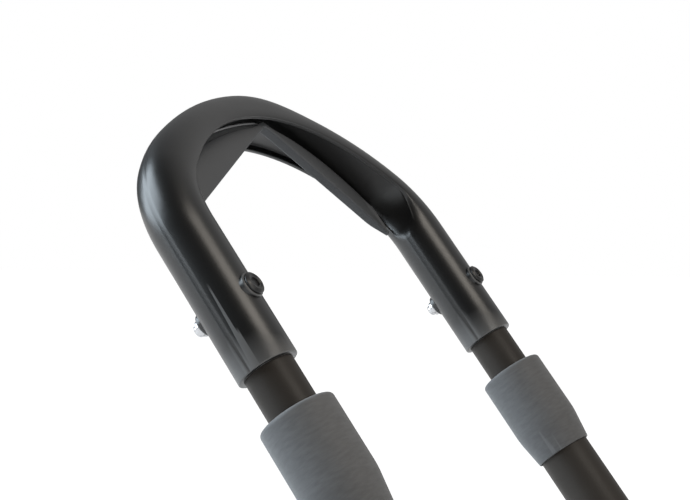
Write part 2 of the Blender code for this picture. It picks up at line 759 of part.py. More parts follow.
def build_cover(word, side):
    """Moulded shell over the ear, open towards it."""
    floor = PLATE_TOP + CLEAR
    sizes = (COVER_HEAD_RADIUS, COVER_FOOT_RADIUS, COVER_FRONT_FOOT, COVER_REAR_FOOT, floor)
    start = side * (EAR_OUTER_Y + COVER_STANDOFF)
    end = side * BASE_HALF_WIDTH
    cover = prism(
        "side_cover_" + word, side_outline(*sizes), min(start, end), max(start, end), "Y", BLACK_PLASTIC
    )
    bevel(cover, COVER_ROUND, 2)
    hollow_start = start - side * COVER_STANDOFF
    hollow_end = end - side * COVER_WALL
    hollow = prism(
        "cover_hollow_" + word,
        side_outline(*sizes, inset=COVER_WALL),
        min(hollow_start, hollow_end),
        max(hollow_start, hollow_end),
        "Y",
    )
    hole_ends = sorted((side * EAR_INNER_Y, side * LEG_Y))
    axle_hole = rod(
        "cover_axle_hole_" + word, AXLE_RADIUS + 2 * CLEAR, *hole_ends, (PIVOT_X, 0, PIVOT_Z), "Y"
    )
    cut(cover, hollow, axle_hole)
    if word == "left":
        cut(cover, lever_slot(), lock_hole())


def lever_slot():
    """Opening in the left cover that the release lever's tab comes out of."""
    tab_x = PIVOT_X + LEVER_TAB_FROM_PIVOT[0]
    tab_z = PIVOT_Z + LEVER_TAB_FROM_PIVOT[1]
    rise = math.sin(math.radians(LEVER_LIFT)) * LEVER_TAB_FROM_PIVOT[0] / 2
    side = LEVER_THICKNESS / 2 + CLEAR * 2
    reach = LEVER_HUB_RADIUS + CLEAR
    low = (LEVER_PIN[0] + LEVER_HUB_RADIUS * 0.5, LEVER_MIDDLE_Y - side, LEVER_PIN[1] - reach)
    high = (tab_x, LEVER_MIDDLE_Y + side, tab_z + rise + reach)
    return box("lever_slot", low, high)


def lock_place():
    return (PIVOT_X + LOCK_FROM_PIVOT[0], 0, PIVOT_Z + LOCK_FROM_PIVOT[1])


def lock_hole():
    return rod(
        "lock_hole", LOCK_RADIUS + RUN_CLEAR, BASE_HALF_WIDTH - 2 * COVER_WALL,
        BASE_HALF_WIDTH + COVER_WALL, lock_place(), "Y",
    )


def build_lock():
    """Lock core in the left cover, with its key slot."""
    axis = empty("lock_axis", lock_place())
    outer = BASE_HALF_WIDTH + LOCK_PROUD
    core = turned(
        "lock_cylinder",
        [
            (LOCK_RADIUS, EAR_OUTER_Y + LOCK_FROM_EAR),
            (LOCK_RADIUS, outer - LOCK_CHAMFER),
            (LOCK_RADIUS - LOCK_CHAMFER, outer),
        ],
        (0, 0, 0), "Y", STEEL, axis,
    )
    slot = box(
        "key_slot",
        (-KEY_SLOT_LENGTH / 2, outer - KEY_SLOT_DEPTH, -KEY_SLOT_WIDTH / 2),
        (KEY_SLOT_LENGTH / 2, outer + KEY_SLOT_DEPTH, KEY_SLOT_WIDTH / 2),
        None,
        axis,
    )
    cut(core, slot)


def build_lever():
    """Release lever with the pawl nose, its pin and its torsion spring."""
    axis = empty("lever_axis", (LEVER_PIN[0], 0, LEVER_PIN[1]))
    to_pivot = Vector((-LEVER_PIN_FROM_PIVOT[0], -LEVER_PIN_FROM_PIVOT[1]))
    nose_turn = math.radians(PAWL_TURN)
    reach = RATCHET_RADIUS + PAWL_CLEAR + LEVER_NOSE_RADIUS
    nose = to_pivot + reach * Vector((math.cos(nose_turn), math.sin(nose_turn)))
    tab = (
        LEVER_TAB_FROM_PIVOT[0] - LEVER_PIN_FROM_PIVOT[0],
        LEVER_TAB_FROM_PIVOT[1] - LEVER_PIN_FROM_PIVOT[1],
    )
    low = LEVER_MIDDLE_Y - LEVER_THICKNESS / 2
    high = LEVER_MIDDLE_Y + LEVER_THICKNESS / 2
    hub = (0.0, 0.0, LEVER_HUB_RADIUS)
    outline = hull([hub, (*tab, LEVER_TAB_RADIUS)])
    lever = prism("release_lever", outline, low, high, "Y", GREY_PLASTIC, axis)
    pawl = prism("lever_pawl", hull([hub, (*nose, LEVER_NOSE_RADIUS)]), low, high, "Y", None, axis)
    hole = rod(
        "lever_hole", LEVER_PIN_RADIUS + RUN_CLEAR, low - LEVER_THICKNESS, high + LEVER_THICKNESS,
        (0, 0, 0), "Y", None, axis, HOLE_SIDES,
    )
    fuse(lever, pawl)
    cut(lever, hole)

    pin_start = EAR_OUTER_Y - EAR_THICKNESS / 2 + CLEAR
    pin_end = BASE_HALF_WIDTH - COVER_WALL - CLEAR
    rod(
        "lever_pin", LEVER_PIN_RADIUS, pin_start, pin_end, (LEVER_PIN[0], 0, LEVER_PIN[1]), "Y", STEEL,
        None, HOLE_SIDES,
    )
    build_lever_spring(low)


def build_lever_spring(lever_face):
    """Torsion spring round the lever's pin, in the gap beside the ear."""
    radius = LEVER_PIN_RADIUS + CLEAR + SPRING_WIRE
    length = SPRING_TURNS * SPRING_PITCH
    middle = (EAR_OUTER_Y + lever_face) / 2
    steps = int(SPRING_TURNS * 8)
    route = []
    start_turn = 0.0
    end_turn = 2 * math.pi * SPRING_TURNS
    route.append(spring_point(radius, start_turn, middle - length / 2, -SPRING_LEG))
    for k in range(steps + 1):
        turn = end_turn * k / steps
        route.append(spring_point(radius, turn, middle - length / 2 + length * k / steps, 0.0))
    route.append(spring_point(radius, end_turn, middle + length / 2, SPRING_LEG))
    curve = bpy.data.curves.new("lever_spring", "CURVE")
    curve.dimensions = "3D"
    curve.bevel_depth = SPRING_WIRE
    curve.bevel_resolution = 1
    curve.use_fill_caps = True
    line = curve.splines.new("POLY")
    line.points.add(len(route) - 1)
    for spot, place in zip(line.points, route):
        spot.co = (*place, 1.0)
    spring = bpy.data.objects.new("lever_spring", curve)
    curve.materials.append(STEEL)
    bpy.context.collection.objects.link(spring)


def spring_point(radius, turn, y, along_tangent):
    """A point of the spring's wire, moved along the tangent for its legs."""
    x = radius * math.cos(turn) - along_tangent * math.sin(turn)
    z = radius * math.sin(turn) + along_tangent * math.cos(turn)
    return (LEVER_PIN[0] + x, y, LEVER_PIN[1] + z)


def wheel_from_pivot():
    """Wheel centre seen from the pivot, in x and z."""
    return Vector((WHEEL_FROM_PIVOT_X, WHEEL_RADIUS - PIVOT_ABOVE_TRAY_FLOOR))


def cradle_lean():
    """Angle from vertical at which the cradle's pad meets the tyre."""
    wheel = wheel_from_pivot()
    reach = WHEEL_RADIUS + CRADLE_TUBE_RADIUS + CRADLE_PAD_THICKNESS
    return math.asin(reach / wheel.length) - math.atan2(-wheel.x, wheel.y)


def build_cradle():
    """Bent-tube hoop on a barrel round the axle, with a moulded pad for the tyre."""
    axis = empty("cradle_axis", (PIVOT_X, 0, PIVOT_Z), cradle_lean())
    bore = AXLE_RADIUS + RUN_CLEAR
    cradle = rod(
        "wheel_cradle", bore + CRADLE_BARREL_WALL, -CRADLE_BARREL_HALF, CRADLE_BARREL_HALF,
        (0, 0, 0), "Y", BLACK_PAINT, axis,
    )
    bend_start = CRADLE_LENGTH - CRADLE_HALF_WIDTH
    path = [(-CRADLE_HALF_WIDTH, bore + CRADLE_BARREL_WALL / 2)]
    for k in range(11):
        turn = math.pi * k / 10
        path.append((-CRADLE_HALF_WIDTH * math.cos(turn), bend_start + CRADLE_HALF_WIDTH * math.sin(turn)))
    path.append((CRADLE_HALF_WIDTH, bore + CRADLE_BARREL_WALL / 2))
    fuse(cradle, tube_path("cradle_hoop", path, CRADLE_TUBE_RADIUS, None, axis))
    cut(cradle, rod("cradle_bore", bore, -LEG_Y, LEG_Y, (0, 0, 0), "Y", None, axis))

    front = -CRADLE_TUBE_RADIUS - CRADLE_PAD_THICKNESS
    side = CRADLE_HALF_WIDTH + CRADLE_PAD_SIDE
    back = CRADLE_TUBE_RADIUS + CRADLE_PAD_THICKNESS
    steps = 3
    half = []
    for k in range(steps + 1):
        share = k / steps
        half.append((CRADLE_HALF_WIDTH * share, front - CRADLE_PAD_HORN * share ** 2))
    half += [
        (side, front - CRADLE_PAD_HORN + CRADLE_PAD_SIDE_FALL),
        (side, back),
        (CRADLE_PAD_POCKET, back),
        (CRADLE_PAD_POCKET, -CRADLE_TUBE_RADIUS),
    ]
    outline = [(x, y) for y, x in mirrored(half)]
    pad_top = bend_start
    pad = prism("cradle_pad", outline, pad_top - CRADLE_PAD_LENGTH, pad_top, "Z", GREY_SOFT, axis)
    bevel(pad, PAD_ROUND, 1, 50)
    for sign in (-1, 1):
        hole = rod(
            "pad_bore_" + ("left" if sign > 0 else "right"), CRADLE_TUBE_RADIUS + CLEAR,
            pad_top - 2 * CRADLE_PAD_LENGTH, pad_top + CRADLE_PAD_LENGTH,
            (0, sign * CRADLE_HALF_WIDTH, 0), "Z", None, axis,
        )
        cut(pad, hole)


def build_arm_foot(arm, word, side):
    """Yoke on the axle, with the spigot that the outer tube sits on."""
    leg = side * LEG_Y
    spigot_radius = OUTER_TUBE_RADIUS - OUTER_TUBE_WALL - CLEAR
    yoke = rod(
        "arm_yoke_" + word, YOKE_EYE_RADIUS, leg - YOKE_HALF_WIDTH, leg + YOKE_HALF_WIDTH,
        (0, 0, 0), "Y", BLACK_PAINT, arm,
    )
    neck = turned(
        "yoke_neck_" + word,
        [
            (YOKE_HALF_WIDTH - CLEAR, AXLE_RADIUS),
            (YOKE_HALF_WIDTH - CLEAR, YOKE_SHOULDER),
            (spigot_radius, YOKE_SHOULDER),
            (spigot_radius, YOKE_SHOULDER + YOKE_SPIGOT),
        ],
        (0, leg, 0), "Z", None, arm,
    )
    fuse(yoke, neck)
    cut(yoke, rod(
        "yoke_bore_" + word, AXLE_RADIUS + CLEAR, leg - LEG_Y / 2, leg + LEG_Y / 2, (0, 0, 0), "Y", None, arm
    ))
    cap_start = side * (AXLE_HALF + CLEAR)
    cap_profile = [
        (AXLE_CAP_RADIUS - AXLE_CAP_THICKNESS / 2, side * AXLE_CAP_THICKNESS),
        (AXLE_CAP_RADIUS, side * AXLE_CAP_THICKNESS / 2),
        (AXLE_CAP_RADIUS, 0.0),
        (SCREW_RADIUS, 0.0),
        (SCREW_RADIUS, -side * AXLE_SCREW_LENGTH),
    ]
    turned("axle_cap_" + word, cap_profile, (0, cap_start, 0), "Y", STEEL, arm)


def build_arm_tubes(arm, slide, word, side):
    """Outer tube, collet, twist collar and inner tube of one leg."""
    leg = side * LEG_Y
    pipe(
        "outer_tube_" + word, OUTER_TUBE_RADIUS, OUTER_TUBE_WALL, YOKE_SHOULDER + CLEAR, OUTER_TUBE_TOP,
        (0, leg, 0), "Z", BLACK_PAINT, arm,
    )
    collet_wall = OUTER_TUBE_RADIUS - INNER_TUBE_RADIUS - RUN_CLEAR
    collet_low = OUTER_TUBE_TOP + CLEAR
    collet_high = collet_low + COLLET_LENGTH - 2 * CLEAR
    pipe(
        "collet_" + word, OUTER_TUBE_RADIUS, collet_wall, collet_low, collet_high,
        (0, leg, 0), "Z", BRONZE, arm,
    )
    collar_axis = empty("collar_axis_" + word, (0, leg, 0), 0.0, arm)
    bore = OUTER_TUBE_RADIUS + RUN_CLEAR
    mouth = INNER_TUBE_RADIUS + RUN_CLEAR
    profile = [
        (bore, COLLAR_BOTTOM),
        (COLLAR_FOOT_RADIUS, COLLAR_BOTTOM),
        (COLLAR_RADIUS, COLLAR_TAPER_TOP),
    ]
    for k in range(5):
        turn = math.pi / 2 * k / 4
        radius = COLLAR_MOUTH_RADIUS + (COLLAR_RADIUS - COLLAR_MOUTH_RADIUS) * math.cos(turn)
        profile.append((radius, COLLAR_TOP - COLLAR_CROWN * (1 - math.sin(turn))))
    profile += [
        (mouth, COLLAR_TOP),
        (mouth, collet_high + CLEAR),
        (bore, collet_high + CLEAR),
    ]
    turned("collar_" + word, profile, (0, 0, 0), "Z", GREY_SOFT, collar_axis, FINE_SIDES, ring=True)
    inner_top = HOOK_LIP + HOOK_SOCKET_DEPTH - CLEAR
    inner = pipe(
        "inner_tube_" + word, INNER_TUBE_RADIUS, INNER_TUBE_WALL, INNER_TUBE_BOTTOM, inner_top,
        (0, leg, 0), "Z", BLACK_PAINT, slide,
    )
    bolt_z = HOOK_LIP + HOOK_BOLT_FROM_LIP
    cut(inner, rod(
        "inner_bolt_hole_" + word, HOOK_BOLT_RADIUS + CLEAR, -INNER_TUBE_RADIUS * 2, INNER_TUBE_RADIUS * 2,
        (0, leg, bolt_z), "X", None, slide, HOLE_SIDES,
    ))


def hook_path(arch_steps=(7, 14)):
    """Stations of the hook's centreline: y, z, turn from the near leg, recess weight."""
    half = LEG_Y
    shoulder = HOOK_SHOULDER_RADIUS
    turn = math.radians(HOOK_SHOULDER_TURN)
    crown = (half - shoulder * (1 - math.cos(turn))) / math.cos(turn)
    start = HOOK_LIP + HOOK_STRAIGHT
    top = start + shoulder * math.sin(turn) + crown * (1 - math.sin(turn))
    stations = [(-half, HOOK_LIP, 0.0, 0.0)]
    for k in range(arch_steps[0]):
        a = turn * k / arch_steps[0]
        stations.append((-half + shoulder * (1 - math.cos(a)), start + shoulder * math.sin(a), a, 0.0))
    quarter = math.pi / 2
    for k in range(arch_steps[1] // 2 + 1):
        a = turn + (quarter - turn) * k / (arch_steps[1] // 2)
        stations.append((-crown * math.cos(a), top - crown * (1 - math.sin(a)), a, 0.0))
    stations = [(y, z, a, recess_weight(a, turn)) for y, z, a, _ in stations]
    mirror = [(-y, z, math.pi - a, w) for y, z, a, w in reversed(stations[:-1])]
    return stations + mirror


def recess_weight(turned_by, shoulder_turn):
    """How far the inner side is opened into a recess: none on the legs, full on the crown."""
    share = min(max(turned_by / shoulder_turn, 0.0), 1.0)
    return share * share * (3 - 2 * share)


def crown_fullness(turned_by):
    """How much fuller than round the section's shoulders are towards the middle of the crown."""
    share = (turned_by - math.pi / 2) / math.radians(HOOK_CROWN_SPAN)
    if abs(share) >= 1:
        return 0.0
    return HOOK_CROWN_FULLNESS * math.cos(math.pi / 2 * share) ** 2


def recess_half():
    """Half the width of the recess's floor."""
    return HOOK_RADIUS * math.sin(math.radians(HOOK_LIP_ANGLE)) - HOOK_RECESS_WALL


def hook_section(weight, fullness, grow=0.0):
    """Section points (outward, across) of the hook; grow swells it for the saddle's seat."""
    radius = HOOK_RADIUS + grow
    lip = math.radians(HOOK_LIP_ANGLE)
    points = []
    outer_steps = 14
    for k in range(outer_steps + 1):
        a = -lip + 2 * lip * k / outer_steps
        full = fullness * math.sin(2 * a) ** 2 if abs(a) < math.pi / 2 else 0.0
        points.append(((radius + full) * math.cos(a), (radius + full) * math.sin(a)))
    inner_steps = 8
    floor_half = recess_half() - grow
    lip_u = HOOK_RADIUS * math.cos(lip) - grow
    floor_u = -HOOK_RECESS_FLOOR - grow
    recess = [(lip_u, floor_half + HOOK_RECESS_WALL * 0.1), (floor_u, floor_half)]
    recess += [(floor_u, floor_half * (1 - 2 * k / 4)) for k in range(1, 4)]
    recess += [(floor_u, -floor_half), (lip_u, -floor_half - HOOK_RECESS_WALL * 0.1)]
    for k in range(1, inner_steps):
        a = lip + (2 * math.pi - 2 * lip) * k / inner_steps
        u, n = radius * math.cos(a), radius * math.sin(a)
        ru, rn = recess[k - 1]
        points.append((u + (ru - u) * weight, n + (rn - n) * weight))
    return points


def hook_rings(grow=0.0):
    rings = []
    for y, z, a, weight in hook_path():
        out = (-math.cos(a), math.sin(a))
        section = hook_section(weight, crown_fullness(a), grow)
        rings.append([(n, y + u * out[0], z + u * out[1]) for u, n in section])
    return rings


def build_hook(slide):
    """U-shaped moulded hook with bolt bosses and sockets for the inner tubes."""
    hook = loft("hook", hook_rings(), BLACK_PLASTIC, slide)
    bolt_z = HOOK_LIP + HOOK_BOLT_FROM_LIP
    boss_reach = HOOK_RADIUS + HOOK_BOSS_HEIGHT
    for word, side in SIDES.items():
        leg = side * LEG_Y
        boss = turned(
            "bolt_boss_" + word,
            [
                (HOOK_BOSS_RADIUS - HOOK_BOSS_ROUND, -boss_reach),
                (HOOK_BOSS_RADIUS, -boss_reach + HOOK_BOSS_ROUND),
                (HOOK_BOSS_RADIUS, boss_reach - HOOK_BOSS_ROUND),
                (HOOK_BOSS_RADIUS - HOOK_BOSS_ROUND, boss_reach),
            ],
            (0, leg, bolt_z), "X", None, slide,
        )
        fuse(hook, boss)
    for word, side in SIDES.items():
        leg = side * LEG_Y
        socket = turned(
            "tube_socket_" + word,
            [
                (INNER_TUBE_RADIUS + CLEAR + HOOK_LIP_CHAMFER * 2, HOOK_LIP - HOOK_LIP_CHAMFER),
                (INNER_TUBE_RADIUS + CLEAR, HOOK_LIP + HOOK_LIP_CHAMFER),
                (INNER_TUBE_RADIUS + CLEAR, HOOK_LIP + HOOK_SOCKET_DEPTH),
            ],
            (0, leg, 0), "Z", None, slide,
        )
        bolt_hole = rod(
            "hook_bolt_hole_" + word, HOOK_BOLT_RADIUS + CLEAR, -2 * boss_reach, 2 * boss_reach,
            (0, leg, bolt_z), "X", None, slide, HOLE_SIDES,
        )
        cut(hook, socket, bolt_hole)
        build_hook_bolt(slide, word, leg, bolt_z, boss_reach)
    saddle = build_saddle(slide)
    cut(saddle, loft("saddle_seat", hook_rings(SADDLE_SEAT_CLEAR), None, slide))


def build_hook_bolt(slide, word, leg, bolt_z, boss_reach):
    """Through bolt with a socket head in front and a domed nut behind."""
    head_face = boss_reach + CLEAR
    nut_face = -head_face
    bolt = turned(
        "hook_bolt_" + word,
        [
            (HOOK_BOLT_RADIUS, nut_face - HOOK_BOLT_IN_NUT),
            (HOOK_BOLT_RADIUS, head_face),
            (HOOK_BOLT_HEAD_RADIUS, head_face),
            (HOOK_BOLT_HEAD_RADIUS, head_face + HOOK_BOLT_HEAD_HEIGHT - HOOK_BOLT_HEAD_ROUND),
            (HOOK_BOLT_HEAD_RADIUS - HOOK_BOLT_HEAD_ROUND, head_face + HOOK_BOLT_HEAD_HEIGHT),
        ],
        (0, leg, bolt_z), "X", STEEL, slide,
    )
    cut(bolt, rod(
        "bolt_socket_" + word, HOOK_BOLT_SOCKET_RADIUS, head_face + HOOK_BOLT_SOCKET_FLOOR, boss_reach * 2,
        (0, leg, bolt_z), "X", None, slide, 6,
    ))
    nut = turned(
        "hook_nut_" + word,
        [
            (HOOK_NUT_RADIUS - HOOK_NUT_DOME, nut_face - HOOK_NUT_LENGTH),
            (HOOK_NUT_RADIUS, nut_face - HOOK_NUT_LENGTH + HOOK_NUT_DOME),
            (HOOK_NUT_RADIUS, nut_face),
        ],
        (0, leg, bolt_z), "X", STEEL, slide,
    )
    cut(nut, rod(
        "nut_thread_" + word, HOOK_BOLT_RADIUS + CLEAR, nut_face - HOOK_BOLT_IN_NUT - CLEAR, 0.0,
        (0, leg, bolt_z), "X", None, slide, HOLE_SIDES,
    ))


def build_saddle(slide):
    """Web that bears on the tyre: two panels that meet in a ridge, with a V-shaped lower edge."""
    side_limit = LEG_Y - HOOK_RADIUS - SADDLE_SIDE_GAP
    top_path = [(y, z) for y, z, _, _ in hook_path() if abs(y) < side_limit - SADDLE_TOP_MARGIN]
    lowest_top = top_path[0][1]
    stations = [(-side_limit, lowest_top)] + top_path + [(side_limit, lowest_top)]
    behind = recess_half() - SADDLE_SIDE_GAP
    rings = []
    for y, z in stations:
        front = SADDLE_RIDGE - math.tan(math.radians(SADDLE_FOLD)) * abs(y)
        back = max(front - SADDLE_THICKNESS, -behind)
        low = SADDLE_PEAK - math.tan(math.radians(SADDLE_SLOPE)) * abs(y)
        high = z + SADDLE_TOP_MARGIN
        rings.append([(front, y, low), (front, y, high), (back, y, high), (back, y, low)])
    return loft("tyre_saddle", rings, GREY_PLASTIC, slide)


def build_ratchet(arm):
    """Toothed wheel on the axle that the pawl bears on."""
    outline = []
    for k in range(RATCHET_TEETH):
        turn = 2 * math.pi * k / RATCHET_TEETH
        next_turn = turn + 1.7 * math.pi / RATCHET_TEETH
        root = RATCHET_RADIUS - RATCHET_TOOTH_DEPTH
        outline.append((root * math.cos(turn), root * math.sin(turn)))
        outline.append((RATCHET_RADIUS * math.cos(next_turn), RATCHET_RADIUS * math.sin(next_turn)))
    low = LEVER_MIDDLE_Y - RATCHET_THICKNESS / 2
    wheel = prism("arm_ratchet", outline, low, low + RATCHET_THICKNESS, "Y", STEEL, arm)
    cut(wheel, rod("ratchet_bore", AXLE_RADIUS + CLEAR, 0.0, LEG_Y, (0, 0, 0), "Y", None, arm))


def build_arm():
    arm = empty("arm_axis", (PIVOT_X, 0, PIVOT_Z), -math.radians(ARM_LEAN))
    slide = empty("slide_axis", (0, 0, 0), 0.0, arm)
    axle = rod("arm_axle", AXLE_RADIUS, -AXLE_HALF, AXLE_HALF, (0, 0, 0), "Y", STEEL, arm)
    for word, side in SIDES.items():
        ends = sorted((side * (AXLE_HALF - AXLE_SCREW_LENGTH - CLEAR), side * 2 * AXLE_HALF))
        cut(axle, rod(
            "axle_thread_" + word, SCREW_RADIUS + CLEAR, *ends, (0, 0, 0), "Y", None, arm, HOLE_SIDES
        ))
        build_arm_foot(arm, word, side)
        build_arm_tubes(arm, slide, word, side)
    build_ratchet(arm)
    build_hook(slide)


def build_rear_slider():
    """Plate that slides under the tray and clamps the rear crossbar."""
    slider = empty("slider_axis", (0, 0, 0))
    front = REAR_BAR_X - BAR_HALF_WIDTH - REAR_PLATE_END
    rear = REAR_BAR_X + BAR_HALF_WIDTH + REAR_PLATE_END
    outer = REAR_JAW_Y - JAW_HALF_WIDTH - REAR_PLATE_MARGIN
    low = (front, outer, PLATE_BOTTOM)
    high = (rear, REAR_PLATE_INNER_Y, PLATE_TOP)
    plate = box("rear_slider", low, high, BLACK_PAINT, slider)
    hook = prism(
        "rear_fixed_hook",
        jaw_outline(REAR_BAR_X + BAR_HALF_WIDTH, 1, PLATE_BOTTOM + FUSE_DEPTH),
        REAR_JAW_Y - JAW_HALF_WIDTH,
        REAR_JAW_Y + JAW_HALF_WIDTH,
        "Y",
        None,
        slider,
    )
    fuse(plate, hook)
    bevel(plate, EDGE_ROUND)
    cut(plate, jaw_notch("rear_notch", REAR_BAR_X, REAR_JAW_Y, front, slider))
    cut(plate, build_clamp("rear_", "", REAR_BAR_X, REAR_JAW_Y, rear, slider))
    cut(plate, plate_bolt_hole("rear_bolt_hole", REAR_BAR_X, slider))
    plate_bolt("rear_slider_bolt", REAR_BAR_X, slider)
    slot_nut("rear_slot_nut", REAR_BAR_X, slider)
    pad_outer = BOLT_HEAD_RADIUS + REAR_PLATE_MARGIN
    bar_pad("rear_bar_pad", REAR_BAR_X, pad_outer, REAR_PLATE_INNER_Y, slider)


def chock_outline():
    """Section of the chock: it fills the channel, dips for the tyre and hooks over both rims."""
    wall_slope = (TRAY_MOUTH_HALF - TRAY_FLOOR_HALF) / TRAY_DEPTH
    gap = CLEAR * math.hypot(1, wall_slope) + CLEAR / 2
    rim = TRAY_MOUTH_HALF + TRAY_RIM_WIDTH
    low = TRAY_RIM + CLEAR
    high = low + CHOCK_ARM_THICKNESS
    half = [
        (0.0, TRAY_FLOOR + CHOCK_DIP),
        (CHOCK_VALLEY_HALF, TRAY_FLOOR + CHOCK_DIP + CHOCK_VALLEY_RISE),
        (CHOCK_SHOULDER, TRAY_FLOOR + CHOCK_DIP * 2),
        (TRAY_MOUTH_HALF - CHOCK_CREST_SETBACK, high),
        (CHOCK_ARM_HALF, high),
        (CHOCK_ARM_HALF, low - CHOCK_ARM_DROP),
        (rim + CLEAR * 2, low - CHOCK_ARM_DROP),
        (rim + CLEAR * 2, low),
        (TRAY_MOUTH_HALF - gap + wall_slope * CLEAR, low),
        (TRAY_FLOOR_HALF - gap + wall_slope * CLEAR, TRAY_FLOOR + CLEAR),
        (0.0, TRAY_FLOOR + CLEAR),
    ]
    return half + [(-y, z) for y, z in reversed(half[1:-1])]


def strap_centreline():
    """Route of the strap's middle in y and z, from its peg over the tyre to its tail."""
    rim_top = TRAY_RIM + CLEAR + CHOCK_ARM_THICKNESS
    left = CHOCK_ARM_HALF + CLEAR + STRAP_THICKNESS / 2
    right = -(CHOCK_ARM_HALF + 2 * CLEAR + BUCKLE_PLATE + STRAP_THICKNESS / 2)
    foot = rim_top - CHOCK_ARM_DROP
    buckle_middle = foot + BUCKLE_HALF_HEIGHT
    straight = buckle_middle + BUCKLE_HALF_HEIGHT + STRAP_THICKNESS
    middle = (left + right) / 2
    radius = (left - right) / 2
    route = [(left, foot), (left, straight)]
    steps = 20
    for k in range(1, steps):
        turn = math.pi * k / steps
        route.append((middle + radius * math.cos(turn), straight + STRAP_LOOP_RISE * math.sin(turn)))
    route += [(right, straight), (right, foot - STRAP_END_DROP)]
    return route


def band(route, thickness):
    """Outline of a strip of even thickness along a route."""
    left, right = [], []
    for i, (a, b) in enumerate(route):
        before = route[max(i - 1, 0)]
        after = route[min(i + 1, len(route) - 1)]
        span = math.hypot(after[0] - before[0], after[1] - before[1])
        out = ((before[1] - after[1]) / span, (after[0] - before[0]) / span)
        left.append((a + out[0] * thickness / 2, b + out[1] * thickness / 2))
        right.append((a - out[0] * thickness / 2, b - out[1] * thickness / 2))
    return left + right[::-1]


def build_chock():
    """Sliding chock for the rear wheel, with its strap and ratchet buckle."""
    slide = empty("chock_axis", (0, 0, 0))
    half = CHOCK_LENGTH / 2
    chock = prism("wheel_chock", chock_outline(), CHOCK_X - half, CHOCK_X + half, "X", BLACK_PLASTIC, slide)
    arm_half = CHOCK_ARM_WIDTH / 2
    outside = CHOCK_ARM_HALF + STRAP_THICKNESS
    inside = TRAY_MOUTH_HALF - TRAY_WALL
    for end, word in ((-1, "front"), (1, "rear")):
        for word_side, side in SIDES.items():
            xs = sorted((CHOCK_X + end * arm_half, CHOCK_X + end * (half + STRAP_THICKNESS)))
            ys = sorted((side * inside, side * outside))
            corner = box(
                "chock_corner_" + word + "_" + word_side,
                (xs[0], ys[0], TRAY_RIM - CHOCK_ARM_DROP * 2),
                (xs[1], ys[1], TRAY_RIM + CHOCK_ARM_DROP * 2),
                None,
                slide,
            )
            cut(chock, corner)
    rim_top = TRAY_RIM + CLEAR + CHOCK_ARM_THICKNESS
    foot = rim_top - CHOCK_ARM_DROP
    peg_z = rim_top - STRAP_PEG_FROM_TOP
    left = CHOCK_ARM_HALF
    peg_end = left + CLEAR + STRAP_THICKNESS + STRAP_PEG_PROUD
    peg = rod(
        "strap_peg", STRAP_PEG_RADIUS, left - FUSE_DEPTH, peg_end, (CHOCK_X, 0, peg_z), "Y", None,
        slide, HOLE_SIDES,
    )
    fuse(chock, peg)
    strap = prism(
        "wheel_strap", band(strap_centreline(), STRAP_THICKNESS), CHOCK_X - STRAP_WIDTH / 2,
        CHOCK_X + STRAP_WIDTH / 2, "X", RUBBER, slide,
    )
    cut(strap, rod(
        "strap_hole", STRAP_PEG_RADIUS + CLEAR, left, peg_end, (CHOCK_X, 0, peg_z), "Y", None,
        slide, HOLE_SIDES,
    ))
    build_buckle(slide, foot)


def build_buckle(slide, foot):
    """Frame, pin and lever that grip the strap."""
    wall = -(CHOCK_ARM_HALF + CLEAR)
    inner = STRAP_WIDTH / 2 + CLEAR * 3
    outer = inner + BUCKLE_CHEEK
    mouth = wall - BUCKLE_DEPTH
    outline = [
        (-outer, wall), (outer, wall), (outer, mouth), (inner, mouth),
        (inner, wall - BUCKLE_PLATE), (-inner, wall - BUCKLE_PLATE), (-inner, mouth), (-outer, mouth),
    ]
    middle = foot + BUCKLE_HALF_HEIGHT
    placed = [(CHOCK_X + x, y) for x, y in outline]
    frame = prism(
        "buckle_frame", placed, middle - BUCKLE_HALF_HEIGHT, middle + BUCKLE_HALF_HEIGHT, "Z",
        GREY_PLASTIC, slide,
    )
    pin_y = wall - BUCKLE_PLATE - BUCKLE_PIN_OUT
    pin_hole = rod(
        "buckle_pin_hole", BUCKLE_PIN_RADIUS + CLEAR, -outer * 1.5, outer * 1.5,
        (CHOCK_X, pin_y, middle), "X", None, slide, HOLE_SIDES,
    )
    cut(frame, pin_hole)
    rod(
        "buckle_pin", BUCKLE_PIN_RADIUS, -outer, outer, (CHOCK_X, pin_y, middle), "X", STEEL,
        slide, HOLE_SIDES,
    )
    axis = empty("buckle_axis", (CHOCK_X, pin_y, middle), 0.0, slide)
    half = inner - CLEAR * 2
    outline = hull([(0.0, 0.0, BUCKLE_HUB_RADIUS), (-BUCKLE_HANDLE_OUT, BUCKLE_HANDLE, BUCKLE_TIP_RADIUS)])
    lever = prism("buckle_lever", outline, -half, half, "X", GREY_SOFT, axis)
    cut(lever, rod(
        "buckle_lever_hole", BUCKLE_PIN_RADIUS + RUN_CLEAR, -2 * half, 2 * half, (0, 0, 0), "X", None,
        axis, HOLE_SIDES,
    ))


def build_rack():
    for old in list(bpy.data.objects):
        bpy.data.objects.remove(old, do_unlink=True)
    build_tray()
    build_base()
    build_lock()
    build_lever()
    build_cradle()
    build_arm()
    build_rear_slider()
    build_chock()


build_rack()
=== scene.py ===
import json
from math import asin, atan2, cos, hypot, pi, radians, sin, sqrt, tan

import bpy
import bmesh
from mathutils import Matrix, Vector


